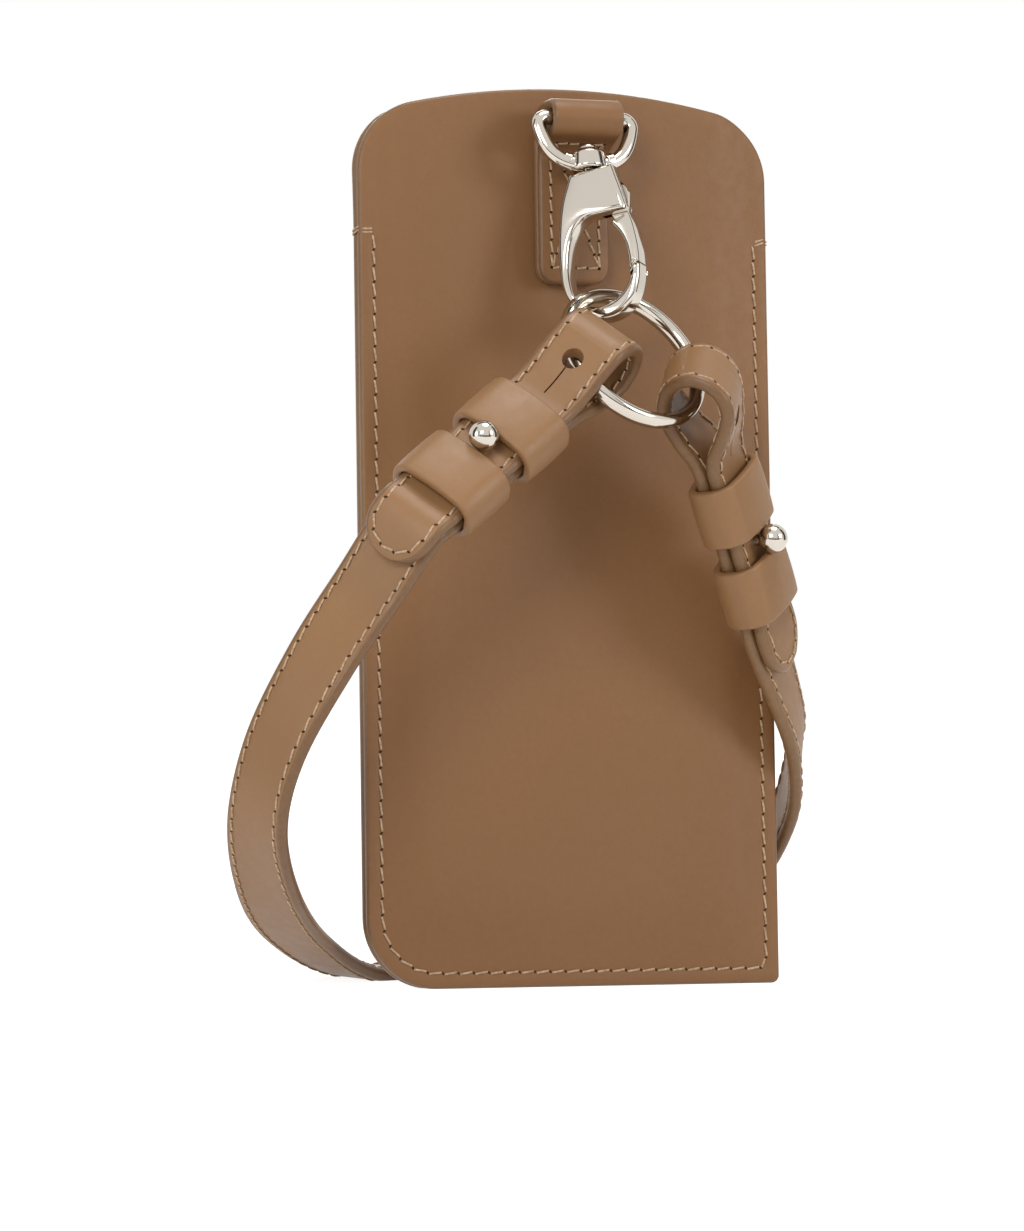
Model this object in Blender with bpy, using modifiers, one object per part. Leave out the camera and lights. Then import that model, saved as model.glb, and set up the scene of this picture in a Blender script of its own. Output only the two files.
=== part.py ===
"""Mini bag: a flat leather pouch with a swivel clasp, an O-ring and a wrist strap.

Metres, +Z up. The pouch leans back on the run of strap behind it, as it stands.
The origin is the middle of the front panel's bottom edge, on the surface.
"""
import math

import bmesh
import bpy
from mathutils import Matrix, Vector

MM = 0.001

# General
FIT_GAP = 0.3 * MM
CUT_OVERRUN = 2.0 * MM
WELD = 0.01 * MM
LEAN_DEG = 5.0

# Pouch panels
POUCH_WIDTH = 92.0 * MM
POUCH_HEIGHT = 190.0 * MM
PANEL_PLY = 2.2 * MM
SEAM_WIDTH = 4.2 * MM
SIDE_RUN = 8.0 * MM
BOTTOM_RUN = 14.0 * MM
FRONT_BULGE = 1.2 * MM
REAR_BULGE = 7.6 * MM
MOUTH_DROP = 32.0 * MM
MOUTH_FLARE = 2.2 * MM
ROUND_CORNER = 15.0 * MM
SHARP_CORNER = 1.6 * MM
SHOULDER_RADIUS = 15.0 * MM
TOP_ARCH = 3.4 * MM

# Tab that carries the clasp
TAB_WIDTH = 15.6 * MM
TAB_PLY = 2.0 * MM
TAB_REACH = 42.0 * MM
TAB_CORNER = 3.5 * MM
LOOP_DEPTH = 10.4 * MM
LOOP_DROP = 8.0 * MM
BAR_CLEARANCE = 0.45 * MM

# Clasp eye
EYE_WIRE = 3.2 * MM
EYE_WIDTH = 24.3 * MM
EYE_CORNER = 1.9 * MM
BOSS_WIDTH = 7.8 * MM
BOSS_HEIGHT = 4.4 * MM
BOSS_DEPTH = 6.8 * MM
BOSS_EDGE = 0.6 * MM
EYE_SWING_DEG = 13.0

# Swivel post
POST_DIAMETER = 2.6 * MM
POST_HEAD_DIAMETER = 4.4 * MM
POST_HEAD_HEIGHT = 1.5 * MM
POST_SEAT_DEPTH = 2.6 * MM

# Hook and its gate
HOOK_LENGTH = 33.1 * MM
HOOK_WIDTH = 19.2 * MM
HOOK_THICKNESS = 5.0 * MM
HOOK_EDGE = 0.6 * MM
HOOK_BAR = 2.8 * MM
HOOK_TURN_DEG = -45.0
SLOT_THICKNESS = 2.8 * MM
GATE_TONGUE = 1.0 * MM
GATE_THICKNESS = 4.6 * MM
KNUCKLE_RADIUS = 2.3 * MM
PIN_DIAMETER = 1.2 * MM
SPRING_WIRE = 0.3 * MM
SPRING_TURNS = 2.25
SPRING_LEG = 2.4 * MM

# O-ring
RING_RADIUS = 16.0 * MM
RING_RADIAL = 3.0 * MM
RING_AXIAL = 3.8 * MM
RING_SIDE = 1.1 * MM
RING_SEAT_GAP = 1.4 * MM

# Wrist strap
STRAP_WIDTH = 16.0 * MM
STRAP_PLY = 1.25 * MM
PLY_GAP = 0.3 * MM
STRAP_STEP = 3.4 * MM
TIP_RADIUS = 7.6 * MM
STRAP_REACH = 40.0 * MM
BUTTONHOLE = 4.4 * MM

# Keepers and studs
KEEPER_LENGTH = 13.0 * MM
KEEPER_WALL = 2.0 * MM
KEEPER_CORNER = 2.6 * MM
KEEPER_TRAVEL = 3.0 * MM
STUD_BALL = 6.2 * MM
STUD_NECK = 2.6 * MM
STUD_NECK_HEIGHT = 1.2 * MM
STUD_HOLE = 3.2 * MM
SCREW_HEAD = 5.0 * MM
SCREW_HEAD_HEIGHT = 1.0 * MM
STUD_GAP = 2.9 * MM

# Sizes that follow from the ones above
LEAN = math.radians(LEAN_DEG)
PANEL_PITCH = PANEL_PLY + FIT_GAP
STRAP_THICKNESS = 2.0 * STRAP_PLY + PLY_GAP
LAYER_PITCH = STRAP_THICKNESS + FIT_GAP
TAB_BACK = -(PANEL_PLY / 2.0 + FRONT_BULGE + FIT_GAP)
BAR_Y = TAB_BACK - TAB_PLY - LOOP_DEPTH + EYE_WIRE / 2.0
BAR_CENTRE = Vector((0.0, BAR_Y, POUCH_HEIGHT - LOOP_DROP))
TAB_BOTTOM = POUCH_HEIGHT - TAB_REACH
EYE_RADIUS = (EYE_WIDTH - EYE_WIRE) / 2.0
BOSS_BOTTOM = EYE_RADIUS + EYE_WIRE / 2.0 - FIT_GAP
HOOK_TOP = BOSS_BOTTOM + FIT_GAP
RING_TOP_DROP = HOOK_TOP + HOOK_LENGTH - HOOK_BAR - RING_SEAT_GAP - RING_RADIAL / 2.0
KEEPER_FAR = STUD_GAP + KEEPER_LENGTH

# Directions and angles of the ring and of the strap's two ends
RING_NORMAL = Vector((0.285, -0.81, 0.512)).normalized()
ENDS = {
    "left": {
        "ring_deg": 180.0,
        "run": Vector((-0.764, -0.222, -0.606)),
        "near": Vector((0.609, -0.538, -0.582)),
        "loop_near": Vector((0.609, -0.538, -0.582)),
        "across_share": 0.175,
        "lift_share": -0.105,
        "rise_share": 0.41,
        "crest_share": 0.575,
        "stud_share": 2.03,
        "tongue_share": 2.0,
    },
    "right": {
        "ring_deg": 318.0,
        "run": Vector((0.393, 0.301, -0.869)),
        "near": Vector((-0.643, -0.585, -0.494)),
        "loop_near": Vector((-0.42, -0.715, -0.561)),
        "across_share": -0.04,
        "lift_share": 0.08,
        "rise_share": 0.45,
        "crest_share": 0.50,
        "stud_share": 2.04,
        "tongue_share": 1.95,
    },
}

# Where the spare hole lies between the ring and the upper keeper
HOLE_SHARE = 0.3

# The strap's route between its two ends, in shares of the pouch's width, the
# strap's reach and the pouch's height, with the direction of its near edge
LEFT_ROUTE_SHARES = (
    ((-0.632, -1.050, 0.432), (0.60, -0.62, -0.50)),
    ((-0.744, -1.010, 0.353), (0.56, -0.71, -0.42)),
    ((-0.836, -0.870, 0.260), (0.47, -0.81, -0.33)),
    ((-0.848, -0.640, 0.180), (0.40, -0.88, -0.20)),
    ((-0.768, -0.220, 0.105), (0.42, -0.90, -0.05)),
    ((-0.630, 0.270, 0.050), (0.42, -0.90, 0.0)),
)
FLOOR_ROUTE_SHARES = (
    ((-0.430, 0.660), (0.36, -0.93, 0.0)),
    ((-0.163, 0.820), (0.12, -1.0, 0.0)),
    ((0.130, 0.830), (-0.15, -1.0, 0.0)),
    ((0.340, 0.780), (-0.30, -0.95, 0.0)),
)
RIGHT_ROUTE_SHARES = (
    ((0.468, 0.690, 0.068), (-0.24, -0.96, -0.05)),
    ((0.552, 0.500, 0.128), (-0.16, -0.96, -0.18)),
    ((0.588, 0.270, 0.192), (-0.18, -0.93, -0.30)),
    ((0.582, 0.080, 0.244), (-0.30, -0.86, -0.38)),
    ((0.550, -0.100, 0.290), (-0.50, -0.76, -0.40)),
)

# The hook's outline in shares of its half width and its length, down from its top
HOOK_OUTER_SHARES = (
    (-0.40, 0.0), (-0.665, 0.19), (-0.80, 0.39), (-0.855, 0.58), (-0.82, 0.72), (-0.70, 0.83), (-0.40, 0.935),
    (0.0, 0.995), (0.30, 1.0), (0.60, 0.97), (0.85, 0.90), (1.0, 0.79), (1.05, 0.692),
)
HOOK_NOSE_SHARES = ((0.985, 0.694),)
HOOK_INNER_SHARES = (
    (0.80, 0.768), (0.70, 0.82), (0.48, 0.88), (0.15, 0.912), (-0.15, 0.905), (-0.42, 0.86), (-0.58, 0.79),
    (-0.64, 0.69), (-0.625, 0.58), (-0.53, 0.45), (-0.38, 0.37), (-0.18, 0.325), (0.04, 0.311), (0.30, 0.312),
)
HOOK_PLATE_SHARES = ((0.83, 0.315), (0.86, 0.295), (0.75, 0.15), (0.62, 0.0))
GATE_OUTER_SHARES = ((0.90, 0.335), (0.965, 0.40), (1.01, 0.48), (1.045, 0.575), (1.045, 0.680))
GATE_END_SHARES = ((0.975, 0.683), (0.80, 0.752))
GATE_INNER_SHARES = ((0.80, 0.70), (0.80, 0.635), (0.755, 0.545), (0.645, 0.46), (0.46, 0.385))
PIN_SHARE = (0.62, 0.19)
SLOT_SHARES = (0.22, 0.10, 0.345)


def shade(name, colour, roughness, metallic):
    """A Principled material of one colour."""
    made = bpy.data.materials.new(name)
    made.use_nodes = True
    shader = made.node_tree.nodes["Principled BSDF"]
    shader.inputs["Base Color"].default_value = (*colour, 1.0)
    shader.inputs["Roughness"].default_value = roughness
    shader.inputs["Metallic"].default_value = metallic
    return made


def start():
    """Empty the scene and make the two collections, the frames and the materials."""
    for old in list(bpy.data.objects):
        bpy.data.objects.remove(old, do_unlink=True)
    for name in ("mini_bag", "cutters"):
        group = bpy.data.collections.new(name)
        bpy.context.scene.collection.children.link(group)
        groups[name] = group
    materials["leather"] = shade("tan_leather", (0.26, 0.14, 0.07), 0.55, 0.0)
    materials["lining"] = shade("brown_lining", (0.20, 0.12, 0.07), 0.75, 0.0)
    materials["nickel"] = shade("polished_nickel", (0.66, 0.63, 0.58), 0.12, 1.0)
    materials["steel"] = shade("spring_steel", (0.45, 0.45, 0.46), 0.3, 1.0)
    frames["pouch"] = empty("pouch_frame", None, Matrix.Rotation(-LEAN, 4, "X"))
    eye_place = Matrix.Translation(BAR_CENTRE) @ Matrix.Rotation(-math.radians(EYE_SWING_DEG), 4, "X")
    frames["eye"] = empty("eye_frame", frames["pouch"], eye_place)
    frames["hook"] = empty("hook_frame", frames["eye"], Matrix.Rotation(math.radians(HOOK_TURN_DEG), 4, "Z"))


def empty(name, parent, place):
    """An empty that carries other objects."""
    made = bpy.data.objects.new(name, None)
    groups["mini_bag"].objects.link(made)
    made.parent = parent
    made.matrix_local = place
    return made


def put(name, mesh, finish, frame, place=Matrix()):
    """An object of this name and mesh, placed in one of the frames."""
    made = bpy.data.objects.new(name, mesh)
    mesh.materials.clear()
    mesh.materials.append(materials[finish])
    groups["mini_bag"].objects.link(made)
    made.parent = frames[frame]
    made.matrix_local = place
    return made


def welded(mesh):
    """Close a mesh that came from a curve."""
    work = bmesh.new()
    work.from_mesh(mesh)
    bmesh.ops.remove_doubles(work, verts=work.verts, dist=WELD)
    bmesh.ops.recalc_face_normals(work, faces=work.faces)
    work.to_mesh(mesh)
    work.free()
    return mesh


def curve_mesh(curve):
    """The mesh of a curve, welded, with the curve removed."""
    holder = bpy.data.objects.new("outline", curve)
    bpy.context.scene.collection.objects.link(holder)
    bpy.context.view_layer.update()
    seen = holder.evaluated_get(bpy.context.evaluated_depsgraph_get())
    mesh = bpy.data.meshes.new_from_object(seen)
    bpy.data.objects.remove(holder)
    bpy.data.curves.remove(curve)
    return welded(mesh)


def outline_mesh(loops, thickness, edge=0.0):
    """Closed outlines in X and Z, filled, with a thickness along Y and a broken edge."""
    curve = bpy.data.curves.new("outline", "CURVE")
    curve.dimensions = "2D"
    curve.fill_mode = "BOTH"
    curve.extrude = thickness / 2.0 - edge
    curve.bevel_depth = edge
    curve.bevel_resolution = 0
    curve.offset = -edge
    for points in loops:
        spline = curve.splines.new("POLY")
        spline.points.add(len(points) - 1)
        for point, (x, z) in zip(spline.points, points):
            point.co = (x, z, 0.0, 1.0)
        spline.use_cyclic_u = True
    mesh = curve_mesh(curve)
    mesh.transform(Matrix.Rotation(math.pi / 2.0, 4, "X"))
    return mesh


def wire_mesh(points, diameter, closed, sides):
    """A round wire along points."""
    curve = bpy.data.curves.new("wire", "CURVE")
    curve.dimensions = "3D"
    curve.bevel_depth = diameter / 2.0
    curve.bevel_resolution = sides
    curve.use_fill_caps = not closed
    spline = curve.splines.new("POLY")
    spline.points.add(len(points) - 1)
    for point, place in zip(spline.points, points):
        point.co = (*place, 1.0)
    spline.use_cyclic_u = closed
    return curve_mesh(curve)


def turned(name, profile, finish, frame, place, steps=20, closed=False):
    """A turned piece from (radius, height) points that run down its outer side."""
    mesh = bpy.data.meshes.new(name)
    work = bmesh.new()
    corners = [work.verts.new((radius, 0.0, height)) for radius, height in profile]
    for first, second in zip(corners, corners[1:]):
        work.edges.new((first, second))
    if closed:
        work.edges.new((corners[-1], corners[0]))
    work.to_mesh(mesh)
    work.free()
    made = put(name, mesh, finish, frame, place)
    screw = made.modifiers.new("turn", "SCREW")
    screw.steps = steps
    screw.render_steps = steps
    screw.use_merge_vertices = True
    screw.merge_threshold = WELD
    return made


def cutter(name, mesh, frame, place=Matrix()):
    """A hidden shape that cuts other pieces."""
    made = bpy.data.objects.new(name, mesh)
    groups["cutters"].objects.link(made)
    made.parent = frames[frame]
    made.matrix_local = place
    made.hide_render = True
    made.display_type = "WIRE"
    return made


def combine(piece, other, operation):
    """Cut a piece by another object, or join or keep what they share."""
    step = piece.modifiers.new(other.name, "BOOLEAN")
    step.operation = operation
    step.object = other
    step.solver = "EXACT"


def cylinder_mesh(diameter, length, sides=20):
    """A cylinder along Z, centred."""
    mesh = bpy.data.meshes.new("cylinder")
    work = bmesh.new()
    bmesh.ops.create_cone(work, cap_ends=True, segments=sides, radius1=diameter / 2.0,
                          radius2=diameter / 2.0, depth=length)
    work.to_mesh(mesh)
    work.free()
    return mesh


def block_mesh(size, centre, edge=0.0):
    """A block with its edges broken."""
    mesh = bpy.data.meshes.new("block")
    work = bmesh.new()
    bmesh.ops.create_cube(work, size=1.0)
    bmesh.ops.scale(work, vec=size, verts=work.verts)
    bmesh.ops.translate(work, vec=centre, verts=work.verts)
    if edge > 0.0:
        bmesh.ops.bevel(work, geom=work.edges[:], offset=edge, segments=1, affect="EDGES")
    work.to_mesh(mesh)
    work.free()
    return mesh


def arc(centre, radius, start_deg, end_deg, count):
    """Points on an arc in two dimensions."""
    found = []
    for step in range(count + 1):
        angle = math.radians(start_deg + (end_deg - start_deg) * step / count)
        found.append((centre[0] + radius * math.cos(angle), centre[1] + radius * math.sin(angle)))
    return found


def smooth(points, per_span):
    """A smooth line through points, with a few steps in each span."""
    points = [Vector(point) for point in points]
    ends = [2.0 * points[0] - points[1]] + points + [2.0 * points[-1] - points[-2]]
    found = []
    for before, first, second, after in zip(ends, ends[1:], ends[2:], ends[3:]):
        for step in range(per_span):
            t = step / per_span
            found.append(0.5 * (2.0 * first + (second - before) * t
                                + (2.0 * before - 5.0 * first + 4.0 * second - after) * t ** 2
                                + (3.0 * first - before - 3.0 * second + after) * t ** 3))
    found.append(points[-1])
    return found


def ease(value):
    """A smooth step from 0 to 1."""
    value = max(0.0, min(1.0, value))
    return value * value * (3.0 - 2.0 * value)


def swell(x, z):
    """How far a panel has swollen at a place, from 0 at its seams to 1."""
    side = ease((POUCH_WIDTH / 2.0 - SEAM_WIDTH - abs(x)) / SIDE_RUN)
    return side * ease((z - SEAM_WIDTH) / BOTTOM_RUN)


def flare(z):
    """How far a free mouth edge opens, from 0 at the tack stitches to 1 at the top."""
    return max(0.0, (z - (POUCH_HEIGHT - MOUTH_DROP)) / MOUTH_DROP) ** 1.5


def pouch_outline():
    """The outline of both panels, seen from the front, in X and Z."""
    half = POUCH_WIDTH / 2.0
    shoulder = half - SHOULDER_RADIUS
    arch_base = POUCH_HEIGHT - TOP_ARCH
    arch_radius = (shoulder ** 2 + TOP_ARCH ** 2) / (2.0 * TOP_ARCH)
    turn_deg = math.degrees(math.asin(shoulder / arch_radius))
    points = arc((-half + ROUND_CORNER, ROUND_CORNER), ROUND_CORNER, 180.0, 270.0, 10)
    points += arc((half - SHARP_CORNER, SHARP_CORNER), SHARP_CORNER, 270.0, 360.0, 3)
    corner = (half - SHOULDER_RADIUS, arch_base - SHOULDER_RADIUS)
    points += arc(corner, SHOULDER_RADIUS, 0.0, 90.0 - turn_deg, 10)
    peak = (0.0, POUCH_HEIGHT - arch_radius)
    points += arc(peak, arch_radius, 90.0 - turn_deg, 90.0 + turn_deg, 14)[1:-1]
    corner = (-half + SHOULDER_RADIUS, arch_base - SHOULDER_RADIUS)
    points += arc(corner, SHOULDER_RADIUS, 90.0 + turn_deg, 180.0, 10)
    return points


def panel(name, middle, bulge, opening):
    """A leather panel: a swollen sheet with the pouch's outline."""
    mesh = bpy.data.meshes.new(name)
    work = bmesh.new()
    bmesh.ops.create_grid(work, x_segments=24, y_segments=26, size=0.5)
    wide = POUCH_WIDTH + 2.0 * CUT_OVERRUN
    high = POUCH_HEIGHT + 2.0 * CUT_OVERRUN
    for corner in work.verts:
        x = corner.co.x * wide
        z = (corner.co.y + 0.5) * high - CUT_OVERRUN
        corner.co = (x, middle + bulge * swell(x, z) + opening * flare(z), z)
    work.to_mesh(mesh)
    work.free()
    made = put(name, mesh, "leather", "pouch")
    wall = made.modifiers.new("wall", "SOLIDIFY")
    wall.thickness = PANEL_PLY
    wall.offset = 0.0
    wall.use_even_offset = True
    depth = 2.0 * (abs(bulge) + abs(opening) + abs(middle) + PANEL_PLY + CUT_OVERRUN)
    combine(made, cutter(name + "_outline", outline_mesh([pouch_outline()], depth), "pouch"), "INTERSECT")
    foot = block_mesh((wide, depth, depth), (0.0, 0.0, -depth / 2.0))
    floor = cutter(name + "_floor", foot, "pouch", Matrix.Rotation(LEAN, 4, "X"))
    combine(made, floor, "DIFFERENCE")
    return made


def pouch():
    """The front and rear panels."""
    panel("front_panel", 0.0, -FRONT_BULGE, 0.0)
    panel("rear_panel", PANEL_PITCH, REAR_BULGE, MOUTH_FLARE)


def ribbon(name, centres, widths, normals, half_widths, shift, thickness, finish, frame):
    """A flat strip along a line: two rails bridged, then given its thickness."""
    mesh = bpy.data.meshes.new(name)
    work = bmesh.new()
    rails = []
    for side in (-1.0, 1.0):
        rail = []
        for centre, width, normal, half in zip(centres, widths, normals, half_widths):
            rail.append(work.verts.new(centre + shift * normal + side * half * width))
        rails.append([work.edges.new(pair) for pair in zip(rail, rail[1:])])
    bmesh.ops.bridge_loops(work, edges=rails[0] + rails[1])
    work.to_mesh(mesh)
    work.free()
    made = put(name, mesh, finish, frame)
    wall = made.modifiers.new("wall", "SOLIDIFY")
    wall.thickness = thickness
    wall.offset = 0.0
    wall.use_even_offset = True
    return made


def tab():
    """The tab's strip: up the panel, round the eye's bar and down again."""
    inner = TAB_BACK - TAB_PLY / 2.0
    outer = inner - TAB_PLY - FIT_GAP
    turn = EYE_WIRE / 2.0 + BAR_CLEARANCE + TAB_PLY / 2.0
    bar_y, bar_z = BAR_CENTRE.y, BAR_CENTRE.z
    shoulder = bar_z - 1.1 * LOOP_DEPTH
    rise = [(inner, TAB_BOTTOM), (inner, (TAB_BOTTOM + shoulder) / 2.0), (inner, shoulder)]
    over = [(inner, bar_z - turn), (inner - 0.2 * turn, bar_z + 0.35 * turn),
            ((inner + bar_y) / 2.0 + 0.2 * turn, bar_z + 0.93 * turn)]
    loop = arc((bar_y, bar_z), turn, 90.0, 262.0, 12)
    under = [((outer + bar_y) / 2.0 - 0.1 * turn, bar_z - 1.45 * turn),
             (outer - 0.15 * turn, bar_z - 2.3 * turn), (outer, shoulder - 0.6 * turn)]
    fall = [(outer, (TAB_BOTTOM + shoulder) / 2.0 - turn), (outer, TAB_BOTTOM)]
    path = rise[:2] + smooth(rise[2:] + over + loop[:1], 3) + loop[1:-1]
    path += smooth(loop[-1:] + under, 3) + fall
    centres = [Vector((0.0, point[0], point[1])) for point in path]
    count = len(centres)
    made = ribbon("tab_strip", centres, [Vector((1.0, 0.0, 0.0))] * count, [Vector()] * count,
                  [TAB_WIDTH / 2.0] * count, 0.0, TAB_PLY, "leather", "pouch")
    half = TAB_WIDTH / 2.0 + WELD
    low = TAB_BOTTOM - WELD
    top = POUCH_HEIGHT + CUT_OVERRUN
    outline = arc((-half + TAB_CORNER, low + TAB_CORNER), TAB_CORNER, 180.0, 270.0, 6)
    outline += arc((half - TAB_CORNER, low + TAB_CORNER), TAB_CORNER, 270.0, 360.0, 6)
    outline += [(half, top), (-half, top)]
    trim = cutter("tab_outline", outline_mesh([outline], 4.0 * LOOP_DEPTH), "pouch")
    combine(made, trim, "INTERSECT")


def eye():
    """The D-shaped eye with its boss, and the post that the hook turns on."""
    radius = EYE_RADIUS
    corner = EYE_CORNER
    lift_deg = math.degrees(math.asin(corner / (radius - corner)))
    inset = (radius - corner) * math.cos(math.radians(lift_deg))
    half = arc((0.0, 0.0), radius, 270.0, 360.0 - lift_deg, 10)
    half += arc((inset, -corner), corner, -lift_deg, 90.0, 4)[1:]
    mirrored = [(-x, z) for x, z in reversed(half[1:])]
    points = [Vector((x, 0.0, z)) for x, z in half + mirrored]
    made = put("clasp_eye", wire_mesh(points, EYE_WIRE, True, 2), "nickel", "eye")
    middle = (0.0, 0.0, -BOSS_BOTTOM + BOSS_HEIGHT / 2.0)
    boss_mesh = block_mesh((BOSS_WIDTH, BOSS_DEPTH, BOSS_HEIGHT), middle, BOSS_EDGE)
    combine(made, cutter("boss", boss_mesh, "eye"), "UNION")
    bore_mesh = cylinder_mesh(POST_DIAMETER + 2.0 * FIT_GAP, BOSS_HEIGHT + 2.0 * CUT_OVERRUN)
    combine(made, cutter("boss_bore", bore_mesh, "eye", Matrix.Translation(middle)), "DIFFERENCE")
    boss_top = -BOSS_BOTTOM + BOSS_HEIGHT + FIT_GAP
    head = POST_HEAD_DIAMETER / 2.0
    stem = POST_DIAMETER / 2.0
    foot = -HOOK_TOP - POST_SEAT_DEPTH + FIT_GAP
    profile = [(0.0, boss_top + POST_HEAD_HEIGHT)]
    profile += [(head * math.sin(math.radians(step)), boss_top + POST_HEAD_HEIGHT * math.cos(math.radians(step)))
                for step in (25.0, 50.0, 75.0)]
    profile += [(head, boss_top), (stem, boss_top), (stem, foot), (0.0, foot)]
    turned("swivel_post", profile, "nickel", "hook", Matrix())


def hook_points(shares):
    """Points of the hook's outline from shares of its half width and its length."""
    return [(x * HOOK_WIDTH / 2.0, -HOOK_TOP - z * HOOK_LENGTH) for x, z in shares]


def hook():
    """The hook's body, its gate, the gate's pin and the gate's spring."""
    outline = [tuple(point) for point in smooth(hook_points(HOOK_OUTER_SHARES), 3)]
    outline += hook_points(HOOK_NOSE_SHARES)
    outline += [tuple(point) for point in smooth(hook_points(HOOK_INNER_SHARES), 3)]
    outline += hook_points(HOOK_PLATE_SHARES)
    body = put("hook_body", outline_mesh([outline], HOOK_THICKNESS, HOOK_EDGE), "nickel", "hook")
    pin_x, pin_z = hook_points([PIN_SHARE])[0]
    lay = Matrix.Rotation(math.pi / 2.0, 4, "X")
    at_pin = Matrix.Translation((pin_x, 0.0, pin_z))
    slot_side, slot_top, slot_low = SLOT_SHARES
    low_x, high_z = hook_points([(slot_side, slot_top)])[0]
    far_x, low_z = hook_points([(1.0, slot_low)])[0]
    far_x += CUT_OVERRUN
    slot = block_mesh((far_x - low_x, SLOT_THICKNESS, high_z - low_z),
                      ((far_x + low_x) / 2.0, 0.0, (high_z + low_z) / 2.0))
    combine(body, cutter("gate_slot", slot, "hook"), "DIFFERENCE")
    bore = cylinder_mesh(PIN_DIAMETER + FIT_GAP * 2.0, HOOK_THICKNESS + 2.0 * CUT_OVERRUN, 16)
    combine(body, cutter("pin_bore", bore, "hook", at_pin @ lay), "DIFFERENCE")
    seat = cylinder_mesh(POST_DIAMETER + 2.0 * FIT_GAP, 2.0 * POST_SEAT_DEPTH)
    combine(body, cutter("post_seat", seat, "hook", Matrix.Translation((0.0, 0.0, -HOOK_TOP))), "DIFFERENCE")
    limb = [tuple(point) for point in smooth(hook_points(GATE_OUTER_SHARES), 3)]
    limb += hook_points(GATE_END_SHARES)
    limb += [tuple(point) for point in smooth(hook_points(GATE_INNER_SHARES), 3)]
    limb = [(x - pin_x, z - pin_z) for x, z in limb]
    gate = put("hook_gate", outline_mesh([limb], GATE_THICKNESS, HOOK_EDGE), "nickel", "hook", at_pin)
    knuckle = arc((0.0, 0.0), KNUCKLE_RADIUS, 0.0, 180.0, 10)
    foot_left = limb[-1]
    foot_right = limb[0]
    into = HOOK_EDGE + FIT_GAP
    knuckle += [(-KNUCKLE_RADIUS, foot_left[1] / 2.0), (foot_left[0] + into * 3.0, foot_left[1] - into * 3.0),
                (foot_right[0] - into, foot_right[1] - into * 4.0), (foot_right[0] - into, foot_right[1])]
    shift = Matrix.Translation((pin_x, (SLOT_THICKNESS - GATE_TONGUE) / 2.0 - FIT_GAP, pin_z))
    tongue = cutter("gate_tongue", outline_mesh([knuckle], GATE_TONGUE), "hook", shift)
    combine(gate, tongue, "UNION")
    combine(gate, cutter("gate_bore", bore.copy(), "hook", at_pin @ lay), "DIFFERENCE")
    put("gate_pin", cylinder_mesh(PIN_DIAMETER, HOOK_THICKNESS - FIT_GAP, 16), "steel", "hook", at_pin @ lay)
    coil_radius = PIN_DIAMETER / 2.0 + 2.0 * FIT_GAP + SPRING_WIRE / 2.0
    pitch = SPRING_WIRE + FIT_GAP / 3.0
    coil_start = -SLOT_THICKNESS / 2.0 + FIT_GAP / 2.0 + SPRING_WIRE / 2.0
    coil = []
    for step in range(round(SPRING_TURNS * 12) + 1):
        angle = 2.0 * math.pi * step / 12.0
        coil.append(Vector((coil_radius * math.cos(angle), coil_start + pitch * step / 12.0,
                            coil_radius * math.sin(angle))))
    coil = [coil[0] - Vector((0.0, 0.0, SPRING_LEG))] + coil
    coil.append(coil[-1] - Vector((SPRING_LEG, 0.0, 0.0)))
    put("gate_spring", wire_mesh(coil, SPRING_WIRE, False, 1), "steel", "hook", at_pin)


def ring_axes():
    """The ring's level direction and its rising direction."""
    level = Vector((0.0, 0.0, 1.0)).cross(RING_NORMAL).normalized()
    return level, RING_NORMAL.cross(level)


def ring_centre():
    """The ring hangs on the lowest bar of the hook."""
    swing = math.radians(EYE_SWING_DEG)
    drop = Vector((0.0, -math.sin(swing), -math.cos(swing))) * RING_TOP_DROP
    return BAR_CENTRE + drop + Vector((RING_SIDE, 0.0, 0.0)) - RING_RADIUS * ring_axes()[1]


def ring_point(angle_deg):
    """A point on the ring's centre line."""
    level, rising = ring_axes()
    angle = math.radians(angle_deg)
    return ring_centre() + RING_RADIUS * (math.cos(angle) * level + math.sin(angle) * rising)


def ring():
    """The O-ring, a turned oval section."""
    section = arc((0.0, 0.0), 1.0, 90.0, -270.0, 12)[:-1]
    profile = [(RING_RADIUS + x * RING_RADIAL / 2.0, z * RING_AXIAL / 2.0) for x, z in section]
    level, rising = ring_axes()
    turn = Matrix((level, rising, RING_NORMAL)).transposed().to_4x4()
    turned("o_ring", profile, "nickel", "pouch", Matrix.Translation(ring_centre()) @ turn, 48, True)


def end_frame(side):
    """Where an end of the strap lies: its start, run, near and outward directions."""
    end = ENDS[side]
    run = end["run"].normalized()
    near = (end["near"] - run * end["near"].dot(run)).normalized()
    outward = run.cross(near)
    outward = outward if outward.y < 0.0 else -outward
    start_at = (ring_point(end["ring_deg"]) + outward * end["lift_share"] * STRAP_WIDTH
                + near * end["across_share"] * STRAP_WIDTH)
    return start_at, run, near, outward


def on_floor(x, y):
    """A point of the strap's middle line where the strap lies on the surface."""
    return Vector((x, y, y * math.tan(LEAN) - FIT_GAP / 2.0 / math.cos(LEAN)))


def stud_distance(side):
    """How far the stud lies from the ring along an end of the strap."""
    return ENDS[side]["stud_share"] * STRAP_WIDTH


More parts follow.
